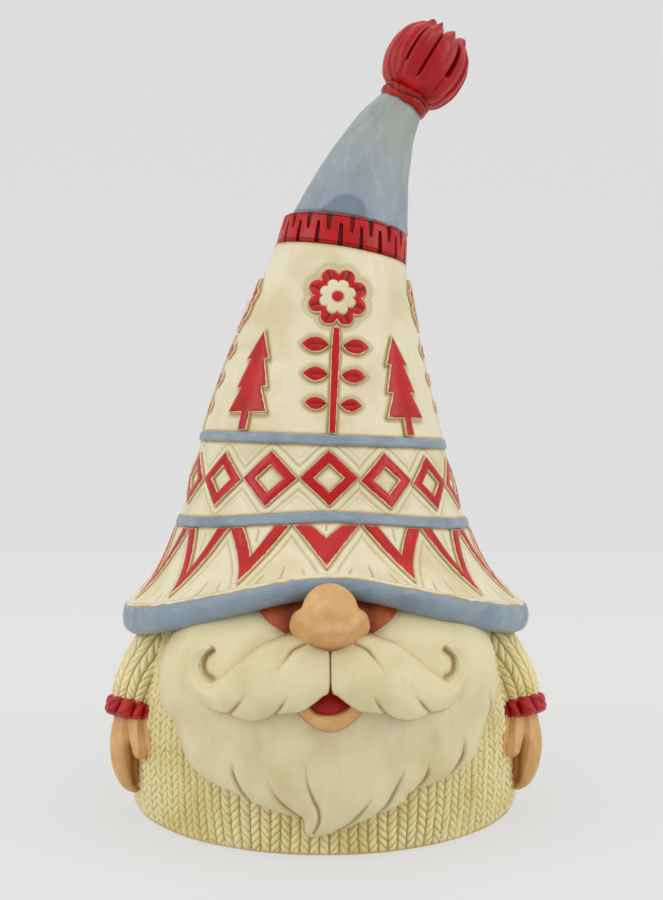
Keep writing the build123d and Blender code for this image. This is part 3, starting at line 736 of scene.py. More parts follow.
def make_flowers_and_trees():
    parts = {name: Plates() for name in ("petals", "hearts", "buttons", "stems", "leaves", "trees")}
    quarter = TURN / FLOWERS_ROUND
    petals = plate([rosette(FLOWER_RADIUS), rosette(HEART_RADIUS)], 0.5, 0.4, petal_creases)
    heart = plate([rosette(HEART_RADIUS), disc(BUTTON_RADIUS)], 0.5, 0.4, slightly_domed)
    button = plate([disc(BUTTON_RADIUS)], 0.5, 0.4, slightly_domed)
    for i in range(FLOWERS_ROUND):
        at = FLOWER_TURN + quarter * i
        lean = FLOWER_LEAN * np.cos(at)
        parts["petals"].add(petals, at, 0.0, lean)
        parts["hearts"].add(heart, at, 0.25, lean)
        parts["buttons"].add(button, at, 0.35, lean)
        stem = plate([stem_loop(band_edge(UPPER_BAND, at, 1))], 0.5, 0.5, stem_ridge)
        parts["stems"].add(stem, at, 0.0, lean)
        for z, length, height in LEAF_ROWS:
            middle = LEAF_GAP + length / 2
            for side in (1, -1):
                made = plate([leaf_loop(side * middle, z, length, height)], 0.5, 0.4, leaf_vein(middle, z))
                parts["leaves"].add(made, at, 0.0, lean)
    for at in TREE_TURNS:
        foot = band_edge(UPPER_BAND, at, 1) + BAND_GAP
        parts["trees"].add(plate([tree_loop(foot)], 1.0, 0.5, slightly_domed), at)
    for name in ("petals", "buttons", "stems", "leaves"):
        parts[name].build(f"flower_{name}", motif_red, "motif_paint")
    parts["hearts"].build("flower_hearts", hat_cream, "flower_centre_paint")
    parts["trees"].build("fir_trees", motif_red, "motif_paint")


def make_diamonds_and_zigzags():
    diamonds, zigzags = Plates(), Plates()
    for i in range(UNITS_ROUND):
        at = DIAMOND_TURN + TURN / UNITS_ROUND * i
        z = (band_edge(LOWER_BAND, at, 1) + band_edge(UPPER_BAND, at, -1)) / 2
        loops = [diamond_loop(DIAMOND_HALF, z), diamond_loop(DIAMOND_HOLE, z)]
        diamonds.add(plate(loops, 0.9, 0.5, slightly_domed), at)
        at = ZIGZAG_TURN + TURN / UNITS_ROUND * i
        zigzags.add(plate([zigzag_loop(at)], 0.9, 0.5, slightly_domed), at)
    diamonds.build("diamond_frames", motif_red, "motif_paint")
    zigzags.build("zigzag_bars", motif_red, "motif_paint")


# ---------------------------------------------------------------- hat zones
HAT_THICK = 3.2


def zone_grid(low, high, columns, rows):
    """(phi, z, point, normal) of a grid between two heights by phi."""
    phi = np.arange(columns)[None, :] * TURN / columns
    t = np.linspace(0, 1, rows)[:, None]
    z = low(phi) * (1 - t) + high(phi) * t
    phi = np.broadcast_to(phi, z.shape)
    point, normal = hat.at(phi, z)
    return phi, z, point, normal


def build_zone(name, point, normal, lift, antiquing_and_shade, material, replaces):
    """A closed ring: the carved outside and a plain inside HAT_THICK behind it."""
    rows, columns = lift.shape
    outer = point + normal * lift[..., None]
    inner = point[[-1, 0]] - normal[[-1, 0]] * HAT_THICK
    points = np.concatenate([outer, inner]).reshape(-1, 3)
    values = {"antiquing_and_shade": np.concatenate([antiquing_and_shade, np.zeros((2, columns))])}
    make_piece(name, points, grid_faces(rows + 2, columns, wrap_rows=True), material, replaces, values)


def recess(d, width, depth):
    """(lift, wash) of a carved recess beside a shape, with a floor that eases up at its outer side."""
    floor = 1 - smooth(width * 0.5, width, d)
    antiquing_and_shade = floor * 0.36 + 0.16 * bell(d - width * 0.7, width * 0.25) + 0.8 * bell(d - 0.1, 0.3)
    return -depth * floor, antiquing_and_shade


def groove(d, at, width, depth):
    line = bell(d - at, width)
    return -depth * line, 1.5 * depth * line


def carved(*cuts):
    """The deepest lift and the strongest wash of several cuts."""
    return np.minimum.reduce([c[0] for c in cuts]), np.maximum.reduce([c[1] for c in cuts])


def edge_lines(z, low, high):
    """Ochre that gathers along a zone's two edges."""
    return np.maximum(bell(z - low, 0.55), bell(high - z, 0.55))


def make_flower_zone():
    phi, z, point, normal = zone_grid(
        lambda p: ring_height(UPPER_BAND, p) + BAND_HALF - 0.5, lambda p: ring_height(CROWN, p) - 0.2, 620, 150
    )
    quarter = TURN / FLOWERS_ROUND
    radius = np.hypot(point[..., 0], point[..., 1])
    nearest = np.round((phi - FLOWER_TURN) / quarter) * quarter + FLOWER_TURN
    u, v = leant(radius * np.sin(phi - nearest), z, -FLOWER_LEAN * np.cos(nearest))
    wobble = value_noise(point, 3.0, 1) * 0.18
    foot = ring_height(UPPER_BAND, phi) + BAND_HALF
    flower = outside_distance(u, v, rosette(FLOWER_RADIUS)) + wobble
    stem = np.maximum(np.abs(u) - STEM_HALF_WIDTH, v - FLOWER_Z) + wobble * 0.6
    leaves = np.minimum.reduce([outside_distance(u, v, loop) for loop in leaf_loops()]) + wobble
    trees = []
    for at in TREE_TURNS:
        ahead = np.cos(phi - at) > 0
        across = np.where(ahead, radius * np.sin(phi - at), 99.0)
        trees.append(outside_distance(across, z - foot, tree_loop(0.0)))
    tree = np.minimum.reduce(trees) + wobble
    lift, antiquing_and_shade = carved(
        recess(flower, 2.3, 0.4), recess(stem, 1.0, 0.35), recess(leaves, 1.3, 0.4), recess(tree, 1.3, 0.4)
    )
    lift = lift + 0.12 * value_noise(point, 9.0, 2) + 0.05 * value_noise(point, 2.5, 3)
    antiquing_and_shade = np.maximum(antiquing_and_shade, edge_lines(z, z[:1] + 0.5, z[-1:]) * 0.9)
    build_zone("hat_flower_zone", point, normal, lift, antiquing_and_shade, hat_cream, ["hat_cone"])


def make_diamond_zone():
    phi, z, point, normal = zone_grid(
        lambda p: ring_height(LOWER_BAND, p) + BAND_HALF - 0.5,
        lambda p: ring_height(UPPER_BAND, p) - BAND_HALF + 0.5,
        980,
        76,
    )
    unit = TURN / UNITS_ROUND
    index = np.round((phi - DIAMOND_TURN) / unit)
    at = DIAMOND_TURN + index * unit
    radius = np.hypot(point[..., 0], point[..., 1])
    u = radius * np.sin(phi - at)
    middle = (ring_height(LOWER_BAND, at) + ring_height(UPPER_BAND, at)) / 2
    v = z - middle
    wobble = value_noise(point, 2.5, 4) * 0.12
    outer = outside_distance(u, v, diamond_loop(DIAMOND_HALF, 0.0)) + wobble
    hole = -outside_distance(u, v, diamond_loop(DIAMOND_HOLE, 0.0))
    cuts = [groove(outer, 0.1, 0.4, 0.45), groove(outer, 2.1, 0.36, 0.42), groove(outer, 3.4, 0.26, 0.22)]
    lift, antiquing_and_shade = carved(*cuts)
    pyramid = np.clip(hole, 0, 4) * 0.3 - 0.5
    within = hole > -0.3
    lift = np.where(within, pyramid, lift)
    antiquing_and_shade = np.where(within, 0.8 * bell(hole, 0.45) + 0.1, antiquing_and_shade)
    lift = lift + 0.06 * value_noise(point, 4.0, 5)
    antiquing_and_shade = np.maximum(antiquing_and_shade, edge_lines(z, z[:1] + 0.5, z[-1:] - 0.5))
    build_zone("hat_diamond_zone", point, normal, lift, antiquing_and_shade, hat_cream, ["hat_cone"])


def make_zigzag_zone():
    phi, z, point, normal = zone_grid(
        lambda p: ring_height(BRIM, p) + 0.25, lambda p: ring_height(LOWER_BAND, p) - BAND_HALF + 0.5, 980, 92
    )
    unit = TURN / UNITS_ROUND
    index = np.round((phi - ZIGZAG_TURN) / unit).astype(int)
    radius = np.hypot(point[..., 0], point[..., 1])
    low, high = ring_height(BRIM, phi), ring_height(LOWER_BAND, phi) - BAND_HALF
    lift, antiquing_and_shade = np.zeros_like(z), np.zeros_like(z)
    wobble = value_noise(point, 2.5, 6) * 0.12
    for i in range(UNITS_ROUND + 1):
        at = ZIGZAG_TURN + i * unit
        here = index == i
        if not here.any():
            continue
        u, h = (radius * np.sin(phi - at))[here], z[here]
        loop = zigzag_loop(at)
        d = outside_distance(u, h, loop) + wobble[here]
        side, notch = loop[2][0], loop[4][1]
        top = high[here]
        above = h > notch + (top - notch) * np.abs(u) / side
        below_cuts = carved(groove(d, 0.1, 0.4, 0.42), groove(d, 2.0, 0.38, 0.42))
        rise = (h - notch) / (top - notch)
        short = bell(u, 0.3) * smooth(0.42, 0.5, rise) * (1 - smooth(0.86, 0.95, rise))
        above_cuts = carved(groove(d, 0.1, 0.4, 0.42), (-0.4 * short, 0.8 * short))
        lift[here] = np.where(above, above_cuts[0], below_cuts[0])
        antiquing_and_shade[here] = np.where(above, above_cuts[1], below_cuts[1])
    half_way = wrapped(phi - ZIGZAG_TURN - unit / 2, unit)
    up = (z - low) / (high - low)
    for offset, start, end in ((0.0, 0.04, 0.3), (0.28, 0.02, 0.2), (-0.28, 0.02, 0.2)):
        stroke = bell((half_way - offset * unit * (1 - up * 1.4)) * radius, 0.32)
        stroke = stroke * smooth(start - 0.03, start, up) * (1 - smooth(end * 0.6, end, up))
        lift = np.minimum(lift, -0.35 * stroke)
        antiquing_and_shade = np.maximum(antiquing_and_shade, 0.9 * stroke)
    lift = lift + 0.08 * value_noise(point, 5.0, 7)
    antiquing_and_shade = np.maximum(antiquing_and_shade, 0.9 * bell(z - z[-1:] + 0.5, 0.55))
    build_zone("hat_zigzag_zone", point, normal, lift, antiquing_and_shade, hat_cream, ["hat_cone"])


make_flower_zone()
make_diamond_zone()
make_zigzag_zone()
make_flowers_and_trees()
make_diamonds_and_zigzags()

# ---------------------------------------------------------------- hat bands, rolled edge and underside
TRIM_DROP_SIDE = 8.2
TRIM_DROP_FRONT = 5.6
TRIM_INSIDE = -4.6  # from the brim ring's radius
TRIM_PROFILE = [  # (share of the drop, reach past the brim ring), down the outside
    (0.0, -0.1), (0.1, 0.7), (0.3, 1.2), (0.55, 1.15), (0.78, 0.6), (0.94, -0.4), (1.0, -1.6),
    (0.99, -3.2), (0.93, -5.2),
]


def turns(columns, rows):
    """Angles round a ring, repeated for each row."""
    return np.broadcast_to(np.arange(columns)[None, :] * TURN / columns, (rows, columns))


def ring_points(phi, reach, z):
    phi, reach, z = np.broadcast_arrays(phi, reach, z)
    return np.stack([reach * np.sin(phi), -reach * np.cos(phi), z], axis=-1)


def make_band(name, ring):
    phi = turns(720, 15)
    t = np.linspace(-1, 1, 15)[:, None]
    middle = ring_height(ring, phi)
    wobble = value_noise(ring_points(phi, 40.0, middle), 3.5, 11)
    z = middle + t * (BAND_HALF + 0.2 * wobble)
    point, normal = hat.at(phi, z)
    lift = 0.7 * (1 - 0.9 * np.abs(t) ** 6) + 0.09 * value_noise(point, 2.6, 12)
    antiquing_and_shade = smooth(0.8, 1.0, np.abs(t)) * (0.6 + 0.4 * wobble)
    build_zone(name, point, normal, lift, antiquing_and_shade, band_blue, [name])


def trim_heights(phi):
    """(top, bottom) of the rolled edge at phi."""
    z = ring_height(BRIM, phi)
    return z - 0.1, z - TRIM_DROP_SIDE + (TRIM_DROP_SIDE - TRIM_DROP_FRONT) * arch(phi)


def make_trim():
    columns = 840
    profile = catmull(TRIM_PROFILE, 44)
    inner = np.array([(0.5, TRIM_INSIDE), (0.0, TRIM_INSIDE), (-0.12, TRIM_INSIDE + 1.0), (-0.06, -1.2)])
    profile = np.vstack([profile, inner])
    share, reach = profile[:, :1], profile[:, 1:]
    phi = turns(columns, len(profile))
    top, low = trim_heights(phi)
    z = top + (low - top) * share
    flat = ring_points(phi, BRIM[2] + reach, z)
    outside = (np.arange(len(profile)) < 40)[:, None]
    planed = np.abs(value_noise(flat, 9.0, 21)) * 0.7 - 0.2
    lump = np.where(outside, planed + 0.12 * value_noise(flat, 3.0, 22), 0.0)
    points = ring_points(phi, BRIM[2] + reach + lump * smooth(0.0, 0.15, share), z)
    border = share - 0.05 - 0.035 * value_noise(flat, 2.2, 23)
    antiquing_and_shade = np.where(outside, 1.6 * bell(border, 0.05) + 0.6 * bell(share - 1.0, 0.08), 0.0)
    cream = np.where(outside, 1 - smooth(-0.02, 0.02, border), 1.0)
    faces = [f[::-1] for f in grid_faces(len(profile), columns, wrap_rows=True)]
    points, values = points.reshape(-1, 3), {"antiquing_and_shade": antiquing_and_shade, "cream": cream}
    make_piece("hat_brim_trim", points, faces, trim_blue, ["hat_brim_trim"], values)


def make_underside():
    """The brim from below, between the rolled edge and the body."""
    columns = 240
    corners = [(50.9, 0.0), (43.2, 1.0), (41.5, 1.0), (41.5, 1.25), (50.0, 0.35)]
    phi = turns(columns, len(corners))
    reach = np.array([c[0] for c in corners])[:, None]
    share = np.array([c[1] for c in corners])[:, None]
    outer = ring_height(BRIM, phi) + 0.6
    z = outer + (62.0 - outer) * share
    points = ring_points(phi, reach, z).reshape(-1, 3)
    faces = grid_faces(len(corners), columns, wrap_rows=True)
    # painted shade: the whole underside of the brim is turned towards ochre
    values = {"antiquing_and_shade": np.full(len(points), 0.9)}
    make_piece("hat_underside", points, faces, hat_cream, ["hat_cone"], values)


# ---------------------------------------------------------------- crown: rib band, tip, collar, pompom
RIB_RADII = (18.6, 17.5)
RIB_HEIGHT = 8.4
RIBS = 19
TIP_RINGS = [  # (centre x, z, radius, tilt), close to the CAD source
    (6.7, 158.9, 16.6, 11.0),
    (9.4, 167.0, 14.4, 15.0),
    (13.0, 177.2, 11.4, 22.0),
    (17.3, 186.5, 8.6, 29.0),
    (21.6, 193.2, 6.4, 33.0),
]
POMPOM_TILT = 31.0
POMPOM_CENTRE_UP = 12.2


class Axis:
    """A place on the hat's leaning axis, with points given by turn, radius and height along it."""

    def __init__(self, x, z, tilt):
        lean = radians(tilt)
        self.origin = np.array([x, 0.0, z])
        self.across = np.array([np.cos(lean), 0.0, -np.sin(lean)])
        self.up = np.array([np.sin(lean), 0.0, np.cos(lean)])

    def at(self, turn, reach, height):
        turn, reach, height = np.broadcast_arrays(turn, reach, height)
        sideways = np.array([0.0, 1.0, 0.0]) * (reach * np.sin(turn))[..., None]
        across = self.across * (reach * np.cos(turn))[..., None]
        return self.origin + across + sideways + self.up * height[..., None]


def closed_stack(name, points, material, replaces, values):
    """A stack of rings closed by a flat face at each end."""
    rows, columns = points.shape[:2]
    faces = grid_faces(rows, columns)
    faces.append(list(range(columns))[::-1])
    faces.append(list(range((rows - 1) * columns, rows * columns)))
    make_piece(name, points.reshape(-1, 3), faces, material, replaces, values)


def make_rib_band():
    rows, columns = 64, RIBS * 56
    turn = turns(columns, rows)
    share = np.linspace(0, 1, rows)[:, None]
    radius = RIB_RADII[0] + (RIB_RADII[1] - RIB_RADII[0]) * share
    unit = TURN / RIBS
    uneven = 0.12 * unit * value_noise(ring_points(turn, 18.0, 0.0 * turn), 7.0, 31)
    lean = 0.14 * unit * (share - 0.5)

    def slit(offset, share_up, reach, mouth):
        """1 on a slit that opens at share_up 0 and ends in a point at reach."""
        x = np.abs(wrapped(turn + uneven + lean - offset, unit)) * radius
        along = np.clip(share_up / reach, 0, 1)
        half = mouth * (1 - along) ** 0.8 + 0.16
        return smooth(half + 0.28, half, x) * (1 - smooth(0.9, 1.0, share_up / reach))

    low = slit(0.0, share - 0.04, 0.68, 0.32)
    high = slit(unit / 2, 0.93 - share, 0.5, 0.5)
    cut = np.maximum(low, high)
    rims = np.maximum(bell(share - 0.085, 0.022), bell(share - 0.925, 0.022))
    rolled = smooth(0.0, 0.05, share) * (1 - smooth(0.95, 1.0, share))
    lift = -0.95 * cut - 0.35 * rims - 0.5 * (1 - rolled)
    lift = lift + 0.06 * value_noise(ring_points(turn, radius, share * RIB_HEIGHT), 1.8, 32)
    axis = Axis(CROWN[0], CROWN[1], CROWN[4])
    points = axis.at(turn, radius + lift, 0.1 + share * RIB_HEIGHT)
    antiquing_and_shade = np.clip(np.maximum(1.1 * low, 0.75 * high) + 0.7 * rims, 0, 1)
    closed_stack("hat_rib_band", points, rib_red, ["hat_rib_band"], {"antiquing_and_shade": antiquing_and_shade})


def facet(turn, count, seed):
    """Radius share of an uneven polygon with rounded corners."""
    starts = (np.arange(count) + 0.5 * hashed(np.arange(count), 0, 0, seed)) * TURN / count
    best = np.full(np.shape(turn), 1e9)
    for k in range(count):
        off = wrapped(turn - starts[k], TURN)
        flat = np.cos(pi / count * 1.15) / np.maximum(np.cos(off), 0.05)
        best = np.minimum(best, np.where(np.abs(off) < pi / 2, flat, 1e9))
    return np.minimum(best, 1.0)


def make_tip():
    rows, columns = 150, 480
    rings = catmull(TIP_RINGS, rows)
    turn = np.arange(columns) * TURN / columns
    points = np.zeros((rows, columns, 3))
    share = np.linspace(0, 1, rows)
    for i, (x, z, radius, tilt) in enumerate(rings):
        sway = 0.25 * np.sin(share[i] * 5.0)
        carved_flat = facet(turn + sway, 13, 41) * 0.6 + facet(turn - sway * 0.7, 9, 42) * 0.4 + 0.035
        rolled = 1 - 0.035 * (1 - smooth(0.0, 0.025, share[i]))
        points[i] = Axis(x, z, tilt).at(turn, radius * carved_flat * rolled, 0.0)
    scallop_turn = wrapped(turn + pi / 2 + 0.12, TURN)[None, :] / 0.38
    scallop = smooth(1.12, 0.86, np.hypot(scallop_turn, share[:, None] / 0.17))
    axis_point = np.stack([rings[:, 0], 0 * rings[:, 0], rings[:, 1]], axis=1)[:, None, :]
    points = points + (axis_point - points) * (0.03 * scallop)[..., None]
    # painted shadow: the tip's top end, under the pompom collar, is marked dark
    antiquing_and_shade = np.broadcast_to(smooth(0.955, 1.0, share)[:, None] * 1.2, (rows, columns))
    values = {"antiquing_and_shade": antiquing_and_shade, "inset": scallop, "height": np.broadcast_to(share[:, None], (rows, columns))}
    closed_stack("hat_tip", points, tip_blue, ["hat_tip"], values)


def make_collar():
    """Two twisted strands under the pompom."""
    rows, columns = 40, 300
    x, z, _, _ = TIP_RINGS[-1]
    turn = turns(columns, rows)
    share = np.linspace(0, 1, rows)[:, None]
    strand = np.abs(np.sin(share * TURN + 0.7 * np.sin(turn * 3 + 1.0))) ** 0.6
    twist = np.abs(np.sin(turn * 8 + share * 5.0)) ** 0.5
    body = np.sin(np.clip(share, 0.02, 0.98) * pi) ** 0.35
    reach = 5.2 + 2.2 * body * (0.72 + 0.28 * strand) * (0.9 + 0.1 * twist)
    points = Axis(x, z, POMPOM_TILT).at(turn, reach, -0.9 + 5.6 * share)
    points = points + 0.15 * value_noise(points, 2.0, 51)[..., None]
    # darker between the strands and twists; darker at the collar's foot is painted shade
    antiquing_and_shade = np.clip(1.0 - 1.3 * strand, 0, 1) + 0.9 * (1 - smooth(0.0, 0.16, share)) + 0.35 * (1 - twist)
    closed_stack("pompom_collar", points, pompom_red, ["pompom_collar"], {"antiquing_and_shade": antiquing_and_shade})


POMPOM_LOBES = 13
POMPOM_PROFILE = [  # (radius, height from the collar's foot)
    (5.4, 2.9), (8.8, 4.6), (11.0, 8.4), (11.7, 12.6), (11.3, 16.8), (9.6, 20.2), (6.6, 22.2),
    (3.4, 21.8), (0.4, 21.2),
]


def make_pompom():
    """Flat lobes that fan out of the collar, with deep slits between some, and end in a pointed crest."""
    rows, columns = 140, POMPOM_LOBES * 48
    x, z, _, _ = TIP_RINGS[-1]
    share = np.linspace(0, 1, rows)[:, None]
    turn = turns(columns, rows)
    place = turn / TURN * POMPOM_LOBES + 0.22 * np.sin(turn * 3 + 0.5)
    lobe = np.floor(place) % POMPOM_LOBES
    off = place - np.floor(place) - 0.5
    reach, height = catmull(POMPOM_PROFILE, rows).T[:, :, None]
    slit_at = np.where(off > 0, (lobe + 1) % POMPOM_LOBES, lobe)
    deep = 0.35 + 0.65 * (hashed(slit_at, 3, 0, 61) > 0.45)
    start = 0.16 + 0.16 * hashed(slit_at, 4, 0, 61)
    open_share = smooth(start, start + 0.08, share) * (1 - 0.4 * smooth(0.8, 0.95, share))
    slit = smooth(0.43 - 0.05 * deep, 0.49, np.abs(off)) * open_share * deep
    flat = 1 - np.cos(pi / POMPOM_LOBES) / np.cos(off * TURN / POMPOM_LOBES)
    pleat = 0.045 * (off + 0.5) * smooth(0.05, 0.25, share)
    hollow = 0.035 * bell(off - 0.18, 0.13) * smooth(0.2, 0.5, share)
    crest = smooth(0.62, 0.74, share) * (1 - smooth(0.8, 0.95, share))
    length = hashed(lobe, 2, 0, 61)
    peak = crest * (0.1 * (1 - 3.2 * np.abs(off)) * (0.5 + length) + 0.05 * (length - 0.5))
    scale = 1 + flat - pleat - hollow - 0.24 * slit
    middle = POMPOM_CENTRE_UP
    axis = Axis(x, z, POMPOM_TILT)
    rise = middle + (height - middle) * (1 + 0.5 * (scale - 1) + peak)
    points = axis.at(turn, np.minimum(reach * (scale + 0.4 * peak), 11.95), rise)
    points = points + 0.1 * value_noise(points, 2.4, 62)[..., None]
    # darker in the slits and on the crest; darker at the foot by the collar is painted shade
    antiquing_and_shade = np.clip(1.1 * slit + 0.9 * (1 - smooth(0.0, 0.07, share)) + 0.5 * smooth(0.86, 0.97, share), 0, 1.2)
    closed_stack("pompom", points, pompom_red, ["pompom"], {"antiquing_and_shade": antiquing_and_shade})


# ---------------------------------------------------------------- knitted body and arms
BODY_PROFILE = [(53.4, 1.0), (54.4, 10), (54.6, 24), (51.6, 40), (46.0, 54), (42.0, 62.0)]
KNIT_COLUMNS = 140
STITCH_PITCH = 2.0


def knit(place, along, width, pitch, depth):
    """(lift, wash) of knitted columns: place counts columns round and along runs up them in millimetres."""
    column = np.floor(place)
    x = place - column - 0.5
    lean = np.where(column % 2 == 0, 1.0, -1.0)
    start = hashed(column, 0, 0, 5)
    stitch = (along - lean * x * width * 1.05) / pitch + start
    off = np.abs(stitch - np.floor(stitch) - 0.5) * 2
    plump = 1 - off**3
    uneven = 0.75 + 0.5 * hashed(np.floor(stitch), column, 0, 6)
    side = np.abs(x) * 2
    lift = depth * ((1 - side**3) * (0.42 + 0.58 * plump * uneven) - 1)
    valley = smooth(0.7, 0.98, side)
    between = smooth(0.6, 1.0, off) * (1 - valley)
    return lift, 1.35 * valley + 1.0 * between * uneven


def make_sweater():
    """The knitted body in three rings, one above the other."""
    radii = catmull(BODY_PROFILE, 400)
    columns = KNIT_COLUMNS * 7
    heights = (0.3, 21.0, 41.5, 62.0)
    for name, low, high in zip(("low", "middle", "high"), heights[:-1], heights[1:]):
        rows = 74
        phi = turns(columns, rows)
        z = low + (high - low) * np.linspace(0, 1, rows)[:, None] + 0 * phi
        radius = np.interp(z, radii[:, 1], radii[:, 0])
        place = phi / TURN * KNIT_COLUMNS + 0.25 * np.sin(phi * 9) * np.sin(z / 9)
        lift, antiquing_and_shade = knit(place, z, 2.5, STITCH_PITCH, 1.05)
        lift = lift * smooth(0.3, 1.6, z) - 0.7 * (1 - smooth(0.3, 1.6, z))
        soft = ring_points(phi, radius, z)
        lift = lift + 0.12 * value_noise(soft, 6.0, 71)
        antiquing_and_shade = np.maximum(antiquing_and_shade, 0.9 * bell(z - 0.3, 0.6)) + 0.12 * value_noise(soft, 11.0, 72)
        outer = ring_points(phi, radius + 0.15 + lift, z)
        inner = ring_points(phi[:2], radius[[-1, 0]] - 4.0, z[[-1, 0]])
        points = np.concatenate([outer, inner]).reshape(-1, 3)
        values = {"antiquing_and_shade": np.concatenate([antiquing_and_shade, 0 * antiquing_and_shade[:2]])}
        faces = grid_faces(rows + 2, columns, wrap_rows=True)
        make_piece(f"sweater_{name}", points, faces, knit_cream, ["body_shell"], values)


def limb(stations, rows, columns, ends=(0.0, 0.0)):
    """Ellipses along a smooth path: (turn, share, points, outward), each rows by columns.

    stations are (centre, wide, deep); ends are the shares over which each end rounds off.
    """
    numbers = catmull([(*centre, wide, deep) for centre, wide, deep in stations], rows)
    centre, wide, deep = numbers[:, :3], numbers[:, 3], numbers[:, 4]
    share = np.linspace(0, 1, rows)
    low = np.sqrt(np.clip(1 - (1 - share / ends[0]).clip(0, 1) ** 2, 0.0, 1)) if ends[0] else 1.0
    high = np.sqrt(np.clip(1 - (1 - (1 - share) / ends[1]).clip(0, 1) ** 2, 0.0, 1)) if ends[1] else 1.0
    rounding = np.maximum(low * high, 0.03)
    along = np.gradient(centre, axis=0)
    along = along / np.linalg.norm(along, axis=1, keepdims=True)
    across = np.cross([0.0, 1.0, 0.0], along)
    across = across / np.linalg.norm(across, axis=1, keepdims=True)
    other = np.cross(along, across)
    turn = turns(columns, rows)
    outward = across[:, None] * (np.cos(turn) * (wide * rounding)[:, None])[..., None]
    outward = outward + other[:, None] * (np.sin(turn) * (deep * rounding)[:, None])[..., None]
    return turn, np.broadcast_to(share[:, None], turn.shape), centre[:, None] + outward, outward


def both_sides(name, points, material, values):
    """A left piece and its mirror image, each a closed stack of rings."""
    for side, sign in (("left", 1), ("right", -1)):
        shown = points * np.array([sign, 1, 1])
        if sign < 0:
            shown = shown[:, ::-1]
            values = {key: np.asarray(v)[:, ::-1] for key, v in values.items()}
        node = f"{name.split('.')[0]}_{side}"
        closed_stack(f"{name.replace('.', '_')}_{side}", shown, material, [node], values)


SLEEVE_STATIONS = [
    ((51.0, -19.8, 28.4), 5.6, 7.2),
    ((50.4, -19.4, 30.5), 6.2, 7.8),
    ((48.3, -17.5, 36.5), 7.0, 9.0),
    ((43.8, -13.5, 43.5), 7.4, 9.6),
    ((37.0, -8.0, 53.0), 6.4, 8.2),
]
CUFF_STATIONS = [
    ((51.5, -20.9, 24.8), 5.2, 7.0),
    ((51.2, -20.5, 26.6), 6.4, 8.2),
    ((50.8, -20.0, 29.2), 6.4, 8.2),
    ((50.4, -19.6, 31.2), 5.4, 7.2),
]
HAND_STATIONS = [
    ((50.2, -21.4, 6.0), 1.3, 2.2),
    ((51.6, -21.8, 10.0), 3.4, 4.6),
    ((52.1, -22.0, 14.5), 4.8, 6.4),
    ((51.9, -21.8, 20.0), 5.6, 7.2),
    ((51.3, -21.0, 27.0), 4.8, 6.4),
]
THUMB_STATIONS = [
    ((47.9, -28.9, 16.6), 1.9, 1.9),
    ((48.0, -28.5, 19.5), 2.5, 2.4),
    ((48.8, -27.0, 23.0), 2.9, 2.8),
    ((49.8, -24.6, 27.2), 2.8, 3.0),
]
FINGER_STATIONS = [
    ((45.1, -28.6, 16.2), 1.3, 1.6),
    ((45.2, -28.6, 19.0), 1.8, 2.0),
    ((45.8, -27.2, 23.0), 2.2, 2.6),
    ((47.0, -24.6, 27.2), 2.2, 3.0),
]


def make_sleeves():
    turn, share, points, outward = limb(SLEEVE_STATIONS, 120, 16 * 22)
    lift, antiquing_and_shade = knit(turn / TURN * 16, share * 34.0, 3.4, 2.6, 0.75)
    points = points + unit_vectors(outward) * (lift + 0.5)[..., None]
    both_sides("sleeve", points, knit_cream, {"antiquing_and_shade": 0.7 * antiquing_and_shade})


def make_cuffs():
    turn, share, points, outward = limb(CUFF_STATIONS, 60, 420, (0.28, 0.28))
    lumps = 12
    twist = turn / TURN * lumps + 0.45 * (share - 0.5) + 0.25 * np.sin(turn * 3)
    lump = np.abs(np.sin(pi * twist)) ** 0.5
    each = np.floor(twist)
    crease = np.abs(np.sin(TURN * (0.5 * twist + share * 1.3) + 2.0 * hashed(each, 1, 0, 81))) ** 0.6
    size = 0.7 + 0.6 * hashed(np.floor(twist), 0, 0, 81)
    lift = 1.3 * lump * size + 0.5 * crease * lump - 0.5 + 0.3 * value_noise(points, 1.6, 82)
    lift = lift * smooth(0.0, 0.1, share) * smooth(1.0, 0.9, share)
    points = points + unit_vectors(outward) * lift[..., None]
    antiquing_and_shade = 0.9 * np.clip(1 - lump * 1.6, 0, 1) + 0.45 * (1 - crease) ** 2
    both_sides("cuff", points, cuff_red, {"antiquing_and_shade": antiquing_and_shade})


def make_hands():
    turn, share, points, outward = limb(HAND_STATIONS, 110, 220, (0.16, 0.0))
    flats = 0.55 * facet(turn + 0.5 * share, 9, 91) + 0.45 * facet(turn - 0.9 * share, 7, 92)
    inner_front = bell(wrapped(turn - 3.95, TURN), 0.62)
    hollow = inner_front * smooth(0.02, 0.2, share) * (1 - smooth(0.72, 0.86, share))
    points = points + outward * (flats - 1)[..., None] - outward * (0.42 * hollow)[..., None]
    # painted shade: darker in the palm's hollow, at the bottom end and where the hand goes into the cuff
    antiquing_and_shade = np.clip(0.95 * hollow + 0.5 * (1 - smooth(0.0, 0.12, share)) + 0.5 * smooth(0.9, 1.0, share), 0, 1)
    both_sides("hand", points, skin_paint, {"antiquing_and_shade": antiquing_and_shade})
    for name, stations in (("hand.thumb", THUMB_STATIONS), ("hand.finger", FINGER_STATIONS)):
        turn, share, points, outward = limb(stations, 60, 120, (0.22, 0.0))
        flats = facet(turn + 0.6 * share, 6, 93)
        points = points + outward * (flats - 1)[..., None]
        # painted shade: darker at the tip end and along one side
        antiquing_and_shade = 0.35 * (1 - smooth(0.0, 0.2, share)) + 0.4 * bell(wrapped(turn - 0.4, TURN), 0.7)
        both_sides(name, points, skin_paint, {"antiquing_and_shade": antiquing_and_shade})


